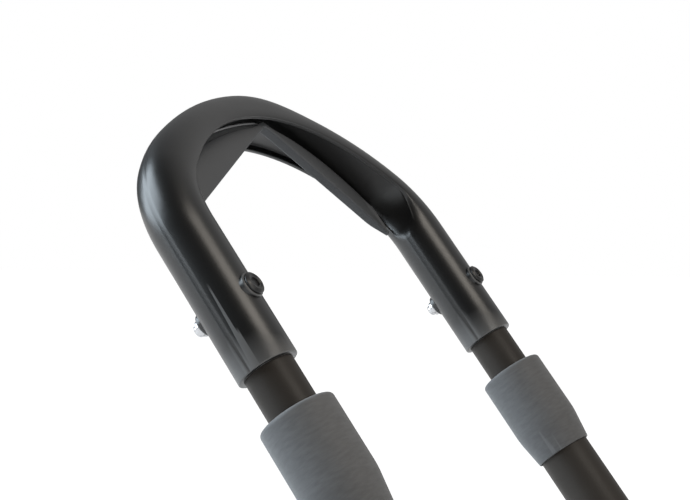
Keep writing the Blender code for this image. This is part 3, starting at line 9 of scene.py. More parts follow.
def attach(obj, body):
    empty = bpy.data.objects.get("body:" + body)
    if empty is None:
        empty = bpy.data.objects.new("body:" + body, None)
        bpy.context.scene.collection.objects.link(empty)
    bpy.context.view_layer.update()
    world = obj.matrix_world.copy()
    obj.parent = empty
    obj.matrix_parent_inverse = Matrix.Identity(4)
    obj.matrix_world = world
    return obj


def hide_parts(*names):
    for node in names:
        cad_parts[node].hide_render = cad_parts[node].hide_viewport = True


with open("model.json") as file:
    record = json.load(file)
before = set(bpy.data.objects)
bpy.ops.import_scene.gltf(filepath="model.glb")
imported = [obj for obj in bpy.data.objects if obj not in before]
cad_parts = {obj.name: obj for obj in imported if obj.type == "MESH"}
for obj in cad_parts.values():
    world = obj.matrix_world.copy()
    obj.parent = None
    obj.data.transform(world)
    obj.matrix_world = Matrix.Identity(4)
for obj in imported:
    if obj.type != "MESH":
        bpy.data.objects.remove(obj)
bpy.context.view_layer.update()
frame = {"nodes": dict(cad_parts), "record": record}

# Sizes and places that the solids have too, in metres
PIVOT = Vector((-0.197, 0.0, 0.1206))
LEG_Y = 0.1147
ARM_LEAN = radians(36.85)
ARM = Matrix.Translation(PIVOT) @ Matrix.Rotation(-ARM_LEAN, 4, "Y")
WORLD = Matrix.Identity(4)
SIDES = {"left": 1, "right": -1}

HOOK_LIP = 0.6031
HOOK_RADIUS = 0.0143
HOOK_STRAIGHT = 0.0715
SHOULDER_RADIUS = 0.0429
SHOULDER_TURN = radians(46.6)
LIP_ANGLE = radians(105.0)
RECESS_WALL = 0.0022
RECESS_FLOOR = 0.0008
CROWN_FULLNESS = 0.0017
CROWN_SPAN = radians(20.0)
SHOULDER_EASE = 0.0010
EASE_TURN = radians(64)
EASE_SPAN = radians(15)
PARTING_HALF = radians(1.9)
PARTING_DEPTH = 0.00030
SOCKET_DEPTH = 0.058
BOLT_FROM_LIP = 0.0335
BOSS_RADIUS = 0.0064
BOSS_HEIGHT = 0.0020
BOSS_SETBACK = 0.0007
HEAD_RADIUS = 0.0055
HEAD_HEIGHT = 0.0018
NUT_RADIUS = 0.0042
NUT_LENGTH = 0.0052

SADDLE_PEAK = 0.7407
SADDLE_SLOPE = radians(29.68)
SADDLE_RIDGE = 0.0085
SADDLE_FOLD = radians(9.37)
SADDLE_THICKNESS = 0.005
SADDLE_GAP = 0.0056
SADDLE_GAP_LOSS = 0.0014

INNER_RADIUS = 0.01166
INNER_WALL = 0.0018
INNER_BOTTOM = 0.330
OUTER_RADIUS = 0.0142
OUTER_WALL = 0.0016
OUTER_BOTTOM = 0.0343
OUTER_TOP = 0.558
COLLAR_BOTTOM = 0.528
COLLAR_TAPER_TOP = 0.5448
COLLAR_TOP = 0.5812
COLLAR_RADIUS = 0.0178
COLLAR_FOOT_RADIUS = 0.0155
COLLAR_MOUTH_RADIUS = 0.0149
CLEAR = 0.0003

BAR_HALF = 0.0425
JAW_LIP = 0.008
JAW_LIP_LENGTH = 0.022
JAW_THICKNESS = 0.014
JAW_HALF = 0.0135
JAW_TRAVEL = 0.024
NUT_POCKET = (0.0033, 0.0053)
BAR_TOP = 0.042
PLATE_BOTTOM = 0.0463
PLATE_TOP = 0.0597
SCREW_Z = 0.0530
SCREW_RADIUS = 0.003
KNOB_RADIUS = 0.0185
KNOB_LENGTH = 0.024
KNOB_HUB = (0.009, 0.004)
KNOB_SOCKET = 0.0184

TRAY_HALF = 0.695
TRAY_BOTTOM = 0.0600
SLOT_FLOOR = 0.0630
TRAY_UNDERSIDE = 0.0720
TRAY_FLOOR = 0.0750
TRAY_RIM = 0.1000
TRAY_FLOOR_HALF = 0.030
TRAY_MOUTH_HALF = 0.043
TRAY_EDGE = 0.049
SLOT_HALF = 0.016

BASE_FRONT = -0.300
BASE_REAR = -0.147
BASE_HALF = 0.097
BASE_BOLT_X = -0.217
FRONT_BAR_X = -0.245
FRONT_JAW_Y = 0.076
EAR_INNER = 0.052
EAR_OUTER = 0.070
EAR_CIRCLES = [(-0.197, 0.1206, 0.0195), (-0.257, 0.0667, 0.010), (-0.163, 0.0667, 0.010)]
COVER_CIRCLES = [(-0.197, 0.1206, 0.0240), (-0.265, 0.0720, 0.012), (-0.161, 0.0720, 0.012)]
COVER_START = 0.0725
COVER_WALL = 0.0025
COVER_SCREWS = [(-0.2635, 0.0708), (-0.1612, 0.0706)]
AXLE_RADIUS = 0.008
AXLE_HALF = 0.1279
AXLE_MOUTH = 0.0086
AXLE_CAP = (0.012, 0.004)
BUSH_RADIUS = 0.0108
LEVER_PIN = Vector((-0.166, 0.0, 0.083))
LEVER_Y = 0.0805
LEVER_HALF = 0.0045
LEVER_BORE = 0.0033
LEVER_TAB = (0.037, 0.0076)
LEVER_NOSE = (-0.0335, 0.01735)
LOCK_PLACE = Vector((-0.235, 0.0, 0.0866))
LOCK_RADIUS = 0.008
YOKE_EYE = 0.019
YOKE_HALF = 0.0132

WHEEL = Vector((-0.2927, 0.2944))
WHEEL_REACH = 0.352
CRADLE_LEAN = asin(WHEEL_REACH / WHEEL.length) - atan2(-WHEEL.x, WHEEL.y)
CRADLE = Matrix.Translation(PIVOT) @ Matrix.Rotation(CRADLE_LEAN, 4, "Y")
CRADLE_HALF = 0.036
CRADLE_TUBE = 0.008
CRADLE_BARREL = 0.0125
CRADLE_BARREL_HALF = 0.046
CRADLE_BEND = 0.226
PAD_LENGTH = 0.070
PAD_FRONT = -0.012
PAD_HORN = 0.018

REAR_BAR_X = 0.470
REAR_JAW_Y = -0.055
REAR_FRONT = 0.4135
REAR_REAR = 0.5265
REAR_OUTER_Y = -0.0725
REAR_INNER_Y = 0.030

CHOCK_X = 0.600
CHOCK_HALF = 0.045
CHOCK_ARM_HALF = 0.018
CHOCK_TOP = 0.1063
CHOCK_OUTER = 0.0545
STRAP_HALF = 0.0125
STRAP_THICKNESS = 0.003
STRAP_LEFT = 0.0563
STRAP_RIGHT = -0.0586
STRAP_FOOT = 0.0923
STRAP_STRAIGHT = 0.1253
STRAP_RISE = 0.0576
STRAP_TAIL = 0.0823
PEG_Z = 0.1014
BUCKLE_PIN = Vector((0.600, -0.0678, 0.1073))
BUCKLE_BORE = 0.0018


# Meshes
def add_object(name, data):
    made = bpy.data.objects.new(name, data)
    bpy.context.scene.collection.objects.link(made)
    return made


def add_mesh(name, points, faces, matrix=WORLD, sharp=32):
    """Adds a mesh whose points are moved by a matrix into the shared frame."""
    mesh = bpy.data.meshes.new(name)
    mesh.from_pydata([matrix @ Vector(p) for p in points], [], faces)
    shell = bmesh.new()
    shell.from_mesh(mesh)
    bmesh.ops.recalc_face_normals(shell, faces=shell.faces)
    shell.to_mesh(mesh)
    shell.free()
    mesh.shade_smooth()
    mesh.set_sharp_from_angle(angle=radians(sharp))
    return add_object(name, mesh)


def loft(name, rings, matrix=WORLD, loop=False, sharp=32):
    """Joins rings of equal point counts into a closed solid."""
    count = len(rings[0])
    points = [p for ring in rings for p in ring]
    faces = []
    for i in range(len(rings) if loop else len(rings) - 1):
        low = i * count
        high = ((i + 1) % len(rings)) * count
        for k in range(count):
            n = (k + 1) % count
            faces.append((low + k, low + n, high + n, high + k))
    if not loop:
        faces.append(tuple(range(count)))
        faces.append(tuple(range(len(points) - count, len(points))))
    return add_mesh(name, points, faces, matrix, sharp)


def rounded(points, steps=4, closed=True):
    """Rounds the corners of an outline that carry a radius as their third number."""
    made = []
    last = len(points) - 1
    for i, corner in enumerate(points):
        here = Vector(corner[:2])
        if len(corner) < 3 or corner[2] <= 0 or (not closed and i in (0, last)):
            made.append(tuple(here))
            continue
        before = Vector(points[i - 1][:2]) - here
        after = Vector(points[(i + 1) % len(points)][:2]) - here
        reach = min(corner[2], before.length * 0.48, after.length * 0.48)
        start = here + before.normalized() * reach
        end = here + after.normalized() * reach
        for k in range(steps + 1):
            t = k / steps
            made.append(tuple(start * (1 - t) ** 2 + here * 2 * t * (1 - t) + end * t * t))
    return made


def round_about(sides):
    """Cosines and sines of even turns round a circle."""
    return [(cos(2 * pi * k / sides), sin(2 * pi * k / sides)) for k in range(sides)]


def along(axis, place=(0, 0, 0)):
    """Matrix that lays a turned piece's own Z along X, Y or Z at a place."""
    turn = {
        "X": Matrix.Rotation(radians(90), 4, "Y"),
        "Y": Matrix.Rotation(radians(-90), 4, "X"),
        "Z": Matrix.Identity(4),
    }[axis]
    return Matrix.Translation(place) @ turn


def on_leg(side, axis="Z", height=0.0):
    """Matrix that lays a turned piece on the centreline of an arm's leg."""
    return ARM @ along(axis, (0, side * LEG_Y, height))


def both_ends(half):
    """Completes a turned profile of (radius, height) corners from its half at negative heights."""
    return half + [(radius, -height, *edge) for radius, height, *edge in reversed(half)]


def span(side, low, high):
    """Two distances from the middle plane, on one side of it, in rising order."""
    return sorted((side * low, side * high))


def mirrored(half):
    """Completes a symmetrical outline of (a, b, radius) corners from its half at positive a."""
    return half + [(-a, b, radius) for a, b, radius in reversed(half)]


def offset(corners, inset):
    """Draws an outline's corners in, with radii that keep the rounded outline parallel."""
    count = len(corners)
    area = 0.0
    for i in range(count):
        ahead = corners[(i + 1) % count]
        area += corners[i][0] * ahead[1] - ahead[0] * corners[i][1]
    turn = 1 if area > 0 else -1
    made = []
    for i, (a, b, radius) in enumerate(corners):
        here = Vector((a, b))
        first = (here - Vector(corners[i - 1][:2])).normalized()
        second = (Vector(corners[(i + 1) % count][:2]) - here).normalized()
        inward = [Vector((-d.y, d.x)) * turn for d in (first, second)]
        spot = here + (inward[0] + inward[1]) * inset / (1 + inward[0].dot(inward[1]))
        if radius > 0:
            convex = first.cross(second) * turn > 0
            radius = max(radius - inset, 0.0001) if convex else radius + inset
        made.append((spot.x, spot.y, radius))
    return made


def cornered(corners, steps=4):
    """Outline as a function of its inset, from (a, b, radius) corners."""
    return lambda inset: rounded(offset(corners, inset), steps)


def hull(circles, sides=120):
    """Outline round circles of (a, b, radius), as a function of its inset."""
    def outline(inset):
        ring = []
        for c, s in round_about(sides):
            a, b, radius = max(circles, key=lambda circle: circle[0] * c + circle[1] * s + circle[2])
            ring.append((a + (radius - inset) * c, b + (radius - inset) * s))
        return ring
    return outline


def rectangle(low, high, radius=0.001):
    """Corners of a rectangle between two opposite ones."""
    spots = ((low[0], low[1]), (high[0], low[1]), (high[0], high[1]), (low[0], high[1]))
    return [(*spot, radius) for spot in spots]


def stacked(name, layers, axis, matrix=WORLD):
    """Lofts layers of (level, points) along X, Y or Z."""
    spot = "XYZ".index(axis)
    rings = [[(*p[:spot], level, *p[spot:]) for p in points] for level, points in layers]
    return loft(name, rings, matrix)


def edge_curve(edge, steps):
    """Depths and insets of a rounded edge, from its side to its end face."""
    turns = [pi / 2 * k / steps for k in range(steps + 1)]
    return [(edge * (1 - sin(turn)), edge * (1 - cos(turn))) for turn in turns]


def both_edges(low, high, edge, steps):
    """Levels and insets of a solid's two rounded edges, as two lists."""
    curve = edge_curve(edge, steps)
    first = [(low + depth, inset) for depth, inset in reversed(curve)]
    return first, [(high - depth, inset) for depth, inset in curve]


def ribs(starts, shape):
    """Stations of a small profile of (step, depth) that comes back at each start."""
    return [(start + step, depth) for start in starts for step, depth in shape]


def ribbed(low, high, edge, steps, first_rib, pitch, count, depth, shape):
    """Levels, insets and rib depths of a solid with rounded edges at its ends and even ribs between."""
    first, last = both_edges(low, high, edge, steps)
    between = ribs([low + first_rib + pitch * i for i in range(count)], shape)
    stations = [(level, inset, 0.0) for level, inset in first]
    stations += [(level, 0.0, depth * share) for level, share in between]
    return stations + [(level, inset, 0.0) for level, inset in last]


def capped(name, outline, side, axis, start, end, edge, steps, face):
    """Solid on one side of the middle, with a rounded outer edge that its face's own stations close."""
    stations = [(start, 0.0003), (start + 0.0003, 0.0)]
    stations += [(end - depth, inset) for depth, inset in edge_curve(edge, steps)] + face
    return stacked(name, [(side * level, outline(inset)) for level, inset in stations], axis)


def pillow(name, outline, low, high, axis, edge=0.001, matrix=WORLD, steps=4):
    """Extrudes an outline with rounded edges at both ends."""
    first, last = both_edges(min(low, high), max(low, high), edge, steps)
    return stacked(name, [(level, outline(inset)) for level, inset in first + last], axis, matrix)


def sweep(name, path, radii, side, matrix, sides, loop=False):
    """Runs circles along a path; side is a direction that the path never takes."""
    rings = []
    count = len(path)
    for i, place in enumerate(path):
        before = path[i - 1] if loop else path[max(i - 1, 0)]
        after = path[(i + 1) % count] if loop else path[min(i + 1, count - 1)]
        ahead = (after - before).normalized()
        across = ahead.cross(side).normalized()
        up = across.cross(ahead)
        rings.append([place + (across * c + up * s) * radii[i] for c, s in round_about(sides)])
    return loft(name, rings, matrix, loop)


def lathe(name, profile, matrix, sides=96, ring=False, steps=4):
    """Turns a profile of (radius, height) corners about its own Z."""
    rings = [
        [(radius * c, radius * s, height) for c, s in round_about(sides)]
        for radius, height in rounded(profile, steps, ring)
    ]
    return loft(name, rings, matrix, ring)


def rod(name, radius, low, high, axis, place=(0, 0, 0), matrix=WORLD, sides=64):
    """Plain cylinder, to cut or to join with."""
    return lathe(name, [(radius, low), (radius, high)], matrix @ along(axis, place), sides)


def boolean(piece, operation, *others):
    """Joins or cuts with other meshes, which are then removed."""
    for other in others:
        step = piece.modifiers.new("boolean", "BOOLEAN")
        step.operation = operation
        step.solver = "EXACT"
        step.object = other
    view = bpy.context.evaluated_depsgraph_get()
    mesh = bpy.data.meshes.new_from_object(piece.evaluated_get(view))
    piece.modifiers.clear()
    piece.data = mesh
    for other in others:
        bpy.data.objects.remove(other, do_unlink=True)
    mesh.shade_smooth()
    mesh.set_sharp_from_angle(angle=radians(38))


def join(piece, *others):
    boolean(piece, "UNION", *others)


def cut(piece, *others):
    boolean(piece, "DIFFERENCE", *others)


def even(piece):
    """Keeps flat faces flat in their shading beside rounded edges."""
    step = piece.modifiers.new("normals", "WEIGHTED_NORMAL")
    step.keep_sharp = True
    return piece


def soften(piece, width):
    """Rounds sharp edges."""
    step = piece.modifiers.new("bevel", "BEVEL")
    step.width = width
    step.segments = 2
    step.limit_method = "ANGLE"
    step.angle_limit = radians(35)
    step.use_clamp_overlap = False
    return even(piece)


def dress(piece, body, look, *nodes):
    """Gives a piece its material and body, and hides the solids that it stands for."""
    piece.data.materials.clear()
    piece.data.materials.append(LOOKS[look])
    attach(piece, body)
    if nodes:
        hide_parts(*nodes)
    return piece


# Materials
LOOKS = {}


def feed(tree, node, inputs):
    """Sets a node's inputs, by name or number, to values or links them to other nodes' outputs."""
    for key, value in inputs.items():
        if isinstance(value, bpy.types.NodeSocket):
            tree.links.new(value, node.inputs[key])
        else:
            node.inputs[key].default_value = value


def add_node(tree, kind, inputs, output=0, **settings):
    """Adds a shader node and returns one of its outputs."""
    node = tree.nodes.new("ShaderNode" + kind)
    for name, value in settings.items():
        setattr(node, name, value)
    feed(tree, node, inputs)
    return node.outputs[output]


def start_material(name, colour, roughness, metallic=0.0):
    made = bpy.data.materials.new(name)
    made.use_nodes = True
    tree = made.node_tree
    shader = tree.nodes["Principled BSDF"]
    feed(tree, shader, {"Base Color": (*colour, 1.0), "Roughness": roughness, "Metallic": metallic})
    LOOKS[name] = made
    return tree, shader


def noise(tree, scale, detail=4.0, stretch=(1.0, 1.0, 1.0), lean=0.0):
    """Noise in the object's own metres, stretched along its axes after a lean about Y."""
    place = add_node(tree, "TexCoord", {}, "Object")
    turned = add_node(tree, "Mapping", {"Vector": place, "Rotation": (0.0, lean, 0.0)})
    fitted = add_node(tree, "Mapping", {"Vector": turned, "Scale": stretch})
    return add_node(tree, "TexNoise", {"Vector": fitted, "Scale": scale, "Detail": detail}, "Fac")


def ramp(tree, value, low, high, start=0.3, end=0.7):
    """Maps a value to the range between two numbers."""
    limits = {"From Min": start, "From Max": end, "To Min": low, "To Max": high}
    return add_node(tree, "MapRange", {"Value": value, **limits}, "Result")


def mix_colour(tree, share, first, second):
    """Mixes two colours, each a tuple or a node's output, through the Mix node's colour sockets."""
    first, second = [(*tone, 1.0) if isinstance(tone, tuple) else tone for tone in (first, second)]
    return add_node(tree, "Mix", {0: share, 6: first, 7: second}, 2, data_type="RGBA")


def bump(tree, height, distance, strength=1.0, **more):
    inputs = {"Height": height, "Distance": distance, "Strength": strength, **more}
    return add_node(tree, "Bump", inputs, "Normal")


def clouded(tree, clouds, colour, tint):
    """Colour that drifts by a share to both sides of its own."""
    darker, paler = [tuple(c * factor for c in colour) for factor in (1 - tint, 1 + tint)]
    return mix_colour(tree, ramp(tree, clouds, 0.0, 1.0), darker, paler)


def worn_and_highlit_edges(tree, tone, worn_and_highlit_tone, edge_wear_and_highlight, band=(0.53, 0.60)):
    """Paler tone where the mesh has an edge: rubbed edges on some finishes, and on the hook a painted edge
    highlight.
    """
    edge = add_node(tree, "NewGeometry", {}, "Pointiness")
    return mix_colour(tree, ramp(tree, edge, 0.0, edge_wear_and_highlight, *band), tone, worn_and_highlit_tone)


def surface(name, colour, roughness, metallic=0.0, grain=2200.0, depth=0.00002, spread=0.05, patch=9.0,
            tint=0.12, stretch=(1.0, 1.0, 1.0), lean=0.0, sheen=0.0, specular=0.5,
            edge_wear_and_highlight=0.0, band=(0.53, 0.60), worn_and_highlit_tone=None):
    """Finish with fine grain in relief, cloudy tint and roughness, and paler edges that are partly rubbed and
    partly a painted highlight.
    """
    tree, shader = start_material(name, colour, roughness, metallic)

    def field(scale, detail=4.0):
        return noise(tree, scale, detail, stretch, lean)

    tone = clouded(tree, field(patch), colour, tint)
    # Paler edges: a painted highlight on the hook's plastic, rubbed edges on other finishes.
    if edge_wear_and_highlight > 0:
        worn_and_highlit_tone = worn_and_highlit_tone or tuple(min(1.0, c * 2.2 + 0.03) for c in colour)
        tone = worn_and_highlit_edges(tree, tone, worn_and_highlit_tone, edge_wear_and_highlight, band)
    feed(tree, shader, {
        "Base Color": tone,
        "Roughness": ramp(tree, field(patch * 7, 5.0), roughness - spread, roughness + spread),
        "Normal": bump(tree, field(grain), depth),
        "Specular IOR Level": specular,
        "Sheen Weight": sheen,
    })


def grained(name, colour, roughness):
    """Moulded plastic with a pebbled spark-erosion texture."""
    tree, shader = start_material(name, colour, roughness)
    tone = clouded(tree, noise(tree, 14.0), colour, 0.15)
    place = add_node(tree, "TexCoord", {}, "Object")
    cells = add_node(tree, "TexVoronoi", {"Vector": place, "Scale": 1400.0}, "Distance")
    pebbles = bump(tree, cells, 0.00010, 0.6)
    feed(tree, shader, {
        "Base Color": worn_and_highlit_edges(tree, tone, tuple(c * 2.0 + 0.02 for c in colour), 0.35),
        "Roughness": ramp(tree, noise(tree, 90.0), roughness - 0.06, roughness + 0.06),
        "Normal": bump(tree, noise(tree, 5200.0, 2.0), 0.00002, 0.8, Normal=pebbles),
    })


# The hook's pale edges are a painted highlight along the foot's rim and the recess lip.
surface(
    "hook_plastic", (0.0095, 0.0094, 0.0094), 0.33, grain=2600.0, depth=0.000012, spread=0.012, tint=0.08,
    edge_wear_and_highlight=1.0, band=(0.516, 0.536), worn_and_highlit_tone=(0.15, 0.15, 0.15), specular=0.62,
)
grained("black_plastic", (0.030, 0.030, 0.032), 0.46)
surface("grey_plastic", (0.080, 0.084, 0.090), 0.50, grain=2400.0, depth=0.00003, tint=0.06, edge_wear_and_highlight=0.5)
surface(
    "grey_soft_touch", (0.124, 0.125, 0.128), 0.66, grain=1300.0, depth=0.00008, patch=800.0,
    stretch=(0.25, 0.25, 1.0), lean=ARM_LEAN, sheen=0.35, edge_wear_and_highlight=0.25,
)
surface("rubber", (0.028, 0.028, 0.029), 0.78, grain=2600.0, depth=0.00006, tint=0.2, sheen=0.2)
surface("strap_rubber", (0.034, 0.034, 0.036), 0.62, grain=3000.0, depth=0.00003, tint=0.15)
surface(
    "aluminium", (0.60, 0.61, 0.63), 0.34, 1.0, grain=2600.0, depth=0.000012, spread=0.06, tint=0.03,
    stretch=(0.02, 1.0, 1.0),
)
surface("black_aluminium", (0.024, 0.021, 0.0188), 0.38, specular=0.36)
surface("leg_aluminium", (0.043, 0.037, 0.032), 0.46, tint=0.10, specular=0.20)
surface("black_steel", (0.018, 0.018, 0.019), 0.36, grain=900.0, depth=0.00004, tint=0.15, edge_wear_and_highlight=0.2)
surface("steel", (0.55, 0.55, 0.56), 0.28, 1.0, grain=2400.0, depth=0.000015, spread=0.07, tint=0.06)
surface("bush_polymer", (0.46, 0.43, 0.36), 0.5, tint=0.05)


# Hook
def hook_path():
    """Stations of the hook's centreline: y, z and the turn from the near leg."""
    crown = (LEG_Y - SHOULDER_RADIUS * (1 - cos(SHOULDER_TURN))) / cos(SHOULDER_TURN)
    start = HOOK_LIP + HOOK_STRAIGHT
    top = start + SHOULDER_RADIUS * sin(SHOULDER_TURN) + crown * (1 - sin(SHOULDER_TURN))
    stations = []
    shoulder_steps, crown_steps = 14, 20
    for k in range(shoulder_steps):
        a = SHOULDER_TURN * k / shoulder_steps
        stations.append((-LEG_Y + SHOULDER_RADIUS * (1 - cos(a)), start + SHOULDER_RADIUS * sin(a), a))
    for k in range(crown_steps + 1):
        a = SHOULDER_TURN + (pi / 2 - SHOULDER_TURN) * k / crown_steps
        stations.append((-crown * cos(a), top - crown * (1 - sin(a)), a))
    return stations + [(-y, z, pi - a) for y, z, a in reversed(stations[:-1])]


def swell(a, centre, reach):
    """One at a turn of the hook, falling to nothing at a reach from it."""
    share = (a - centre) / reach
    return cos(pi / 2 * share) ** 2 if abs(share) < 1 else 0.0


def parting(a):
    """Depth of the parting groove at an angle from its middle."""
    return PARTING_DEPTH * max(0.0, 1 - abs(a) / PARTING_HALF)


def hook_section(weight, shrink, turned_by=0.0):
    """Section points (outward, across), with the parting groove and, by weight, the inner recess."""
    radius = HOOK_RADIUS - shrink
    full = CROWN_FULLNESS * swell(turned_by, pi / 2, CROWN_SPAN)
    ease = SHOULDER_EASE * swell(min(turned_by, pi - turned_by), EASE_TURN, EASE_SPAN)
    outer = []
    steps = 56
    for k in range(steps + 1):
        a = -LIP_ANGLE + 2 * LIP_ANGLE * k / steps
        r = radius - parting(a)
        if abs(a) < pi / 2:
            r += full * sin(2 * a) ** 2 - ease * cos(a) ** 2
        outer.append((r * cos(a), r * sin(a)))
    lip_u, lip_n = radius * cos(LIP_ANGLE), radius * sin(LIP_ANGLE)
    wall_n = lip_n - RECESS_WALL
    corners = [
        (lip_u, lip_n), (lip_u - 0.0009, lip_n - 0.0004, 0.0008), (lip_u - 0.0011, wall_n, 0.0006),
        (-RECESS_FLOOR, wall_n - 0.0004, 0.0008), (-RECESS_FLOOR, 0.0),
    ]
    half = rounded(corners, closed=False)[1:-1]
    recess = half + [(-RECESS_FLOOR, 0.0)] + [(u, -n) for u, n in reversed(half)]
    inner = []
    for k, (ru, rn) in enumerate(recess):
        a = LIP_ANGLE + (2 * pi - 2 * LIP_ANGLE) * (k + 1) / (len(recess) + 1)
        r = radius - parting(a - pi)
        u, n = r * cos(a), r * sin(a)
        inner.append((u + (ru - u) * weight, n + (rn - n) * weight))
    return outer + inner


def hook_rings():
    """Rings of the hook, with a rounded edge at the foot of each leg."""
    leg = [(0.0, 0.0007), (0.0001, 0.0004), (0.0003, 0.0001), (0.0006, 0.0), (0.02, 0.0), (0.045, 0.0)]
    rings = [[(n, -LEG_Y - u, HOOK_LIP + rise) for u, n in hook_section(0.0, shrink)] for rise, shrink in leg]
    for y, z, a in hook_path():
        share = min(max(min(a, pi - a) / SHOULDER_TURN, 0.0), 1.0)
        section = hook_section(share * share * (3 - 2 * share), 0.0, a)
        rings.append([(n, y - u * cos(a), z + u * sin(a)) for u, n in section])
    for rise, shrink in reversed(leg):
        rings.append([(n, LEG_Y + u, HOOK_LIP + rise) for u, n in hook_section(0.0, shrink)])
    return rings


def build_hook():
    hook = loft("hook_body", hook_rings(), ARM, sharp=40)
    bolt_z = HOOK_LIP + BOLT_FROM_LIP
    reach = HOOK_RADIUS + BOSS_HEIGHT - BOSS_SETBACK
    crest = reach + HEAD_HEIGHT
    tight, bore = INNER_RADIUS + 0.00006, INNER_RADIUS + CLEAR
    for side in SIDES.values():
        for end in (-1, 1):
            profile = [
                (BOSS_RADIUS + 0.0006, end * (HOOK_RADIUS - 0.0050)),
                (BOSS_RADIUS - 0.0001, end * (HOOK_RADIUS - 0.0010), 0.0015),
                (BOSS_RADIUS - 0.0003, end * reach, 0.0011), (0.0030, end * reach),
            ]
            join(hook, lathe("boss", profile, on_leg(side, "X", bolt_z), 64, steps=5))
        profile = [
            (tight, HOOK_LIP - 0.0003), (tight, HOOK_LIP + 0.0020), (bore, HOOK_LIP + 0.0024),
            (bore, HOOK_LIP + SOCKET_DEPTH),
        ]
        cut(hook, lathe("socket", profile, on_leg(side)))
    dress(hook, "hook_head", "hook_plastic", "hook")
    for word, side in SIDES.items():
        place = on_leg(side, "X", bolt_z)
        profile = [
            (HEAD_RADIUS - 0.0004, reach), (HEAD_RADIUS, reach + 0.0003, 0.0002),
            (HEAD_RADIUS, reach + HEAD_HEIGHT * 0.50, 0.0009), (HEAD_RADIUS * 0.76, crest, 0.0008),
            (0.0036, crest, 0.0003), (0.0031, crest - 0.0004),
        ]
        head = lathe("bolt_head_" + word, profile, place, 64)
        cut(head, lathe("hexagon", [(0.0026, reach + 0.0006), (0.0026, reach + 0.01)], place, 6))
        dress(soften(head, 0.00012), "hook_head", "black_steel", "hook_bolt_" + word)
        profile = [
            (NUT_RADIUS, -reach), (NUT_RADIUS, -reach - NUT_LENGTH * 0.45, 0.0004),
            (NUT_RADIUS * 0.78, -reach - NUT_LENGTH * 0.5, 0.0003),
            (NUT_RADIUS * 0.70, -reach - NUT_LENGTH * 0.92, 0.0012), (0.0004, -reach - NUT_LENGTH),
        ]
        nut = lathe("bolt_nut_" + word, profile, place, 48, steps=5)
        dress(nut, "hook_head", "steel", "hook_nut_" + word)


def build_saddle():
    """Web under the crown: two panels that meet in a ridge, with a rolled top edge and a tongue behind."""
    limit = LEG_Y - HOOK_RADIUS - 0.0008
    behind = HOOK_RADIUS * sin(LIP_ANGLE) - RECESS_WALL - 0.0008
    path = [station for station in hook_path() if abs(station[0]) < limit - 0.002]
    stations = [(-limit, *path[0][1:])] + path + [(limit, *path[-1][1:])]
    rings = []
    for y, z, a in stations:
        share = min(1.0, abs(y) / 0.085)
        front = SADDLE_RIDGE - tan(SADDLE_FOLD) * hypot(y, 0.0012)
        back = max(front - SADDLE_THICKNESS, -behind)
        low = SADDLE_PEAK - tan(SADDLE_SLOPE) * hypot(y, 0.0015)
        top = max(z - (SADDLE_GAP - SADDLE_GAP_LOSS * share * share) / sin(a), low + 0.0040)
        step = top - 0.0022
        high = max(z - 0.0016, top + 0.0004)
        sheet = front - 0.45 * (front - back)
        tongue = front - 0.72 * (front - back)
        ring = rounded([
            (front, low, 0.0013), (front, top, 0.0012), (sheet, top, 0.0007), (sheet, step, 0.0003),
            (tongue, step, 0.0003), (tongue, high, 0.0002), (back, high, 0.0002), (back, low, 0.0007),
        ])
        rings.append([(n, y, h) for n, h in ring])
    dress(loft("tyre_web", rings, ARM, sharp=40), "hook_head", "grey_plastic", "tyre_saddle")


def build_legs():
    top = HOOK_LIP + SOCKET_DEPTH - CLEAR
    inside, outer_bore = INNER_RADIUS - INNER_WALL, OUTER_RADIUS - OUTER_WALL
    bore, mouth = OUTER_RADIUS + CLEAR, INNER_RADIUS + CLEAR
    for word, side in SIDES.items():
        low = INNER_BOTTOM
        profile = [(INNER_RADIUS, low, 0.0005), (INNER_RADIUS, top), (inside, top), (inside, low)]
        tube = lathe("slide_tube_" + word, profile, on_leg(side), ring=True)
        dress(tube, "hook_head", "leg_aluminium", "inner_tube_" + word)
        low, high = OUTER_BOTTOM, OUTER_TOP
        ends = ((OUTER_RADIUS, low), (OUTER_RADIUS, high), (outer_bore, high), (outer_bore, low))
        profile = [(*end, 0.0004) for end in ends]
        tube = lathe("leg_tube_" + word, profile, on_leg(side), ring=True)
        dress(tube, "arm", "leg_aluminium", "outer_tube_" + word)
        profile = [
            (bore, COLLAR_BOTTOM, 0.0003), (COLLAR_FOOT_RADIUS, COLLAR_BOTTOM, 0.0006),
            (COLLAR_RADIUS, COLLAR_TAPER_TOP, 0.0030), (COLLAR_RADIUS, COLLAR_TOP - 0.0005, 0.0046),
            (COLLAR_MOUTH_RADIUS - 0.0010, COLLAR_TOP, 0.0008), (mouth, COLLAR_TOP, 0.0008),
            (mouth, OUTER_TOP + 0.0183, 0.0002), (bore, OUTER_TOP + 0.0180, 0.0002),
        ]
        collar = lathe("twist_collar_" + word + "_sleeve", profile, on_leg(side), 112, ring=True, steps=7)
        dress(collar, "twist_collar_" + word, "grey_soft_touch", "collar_" + word)


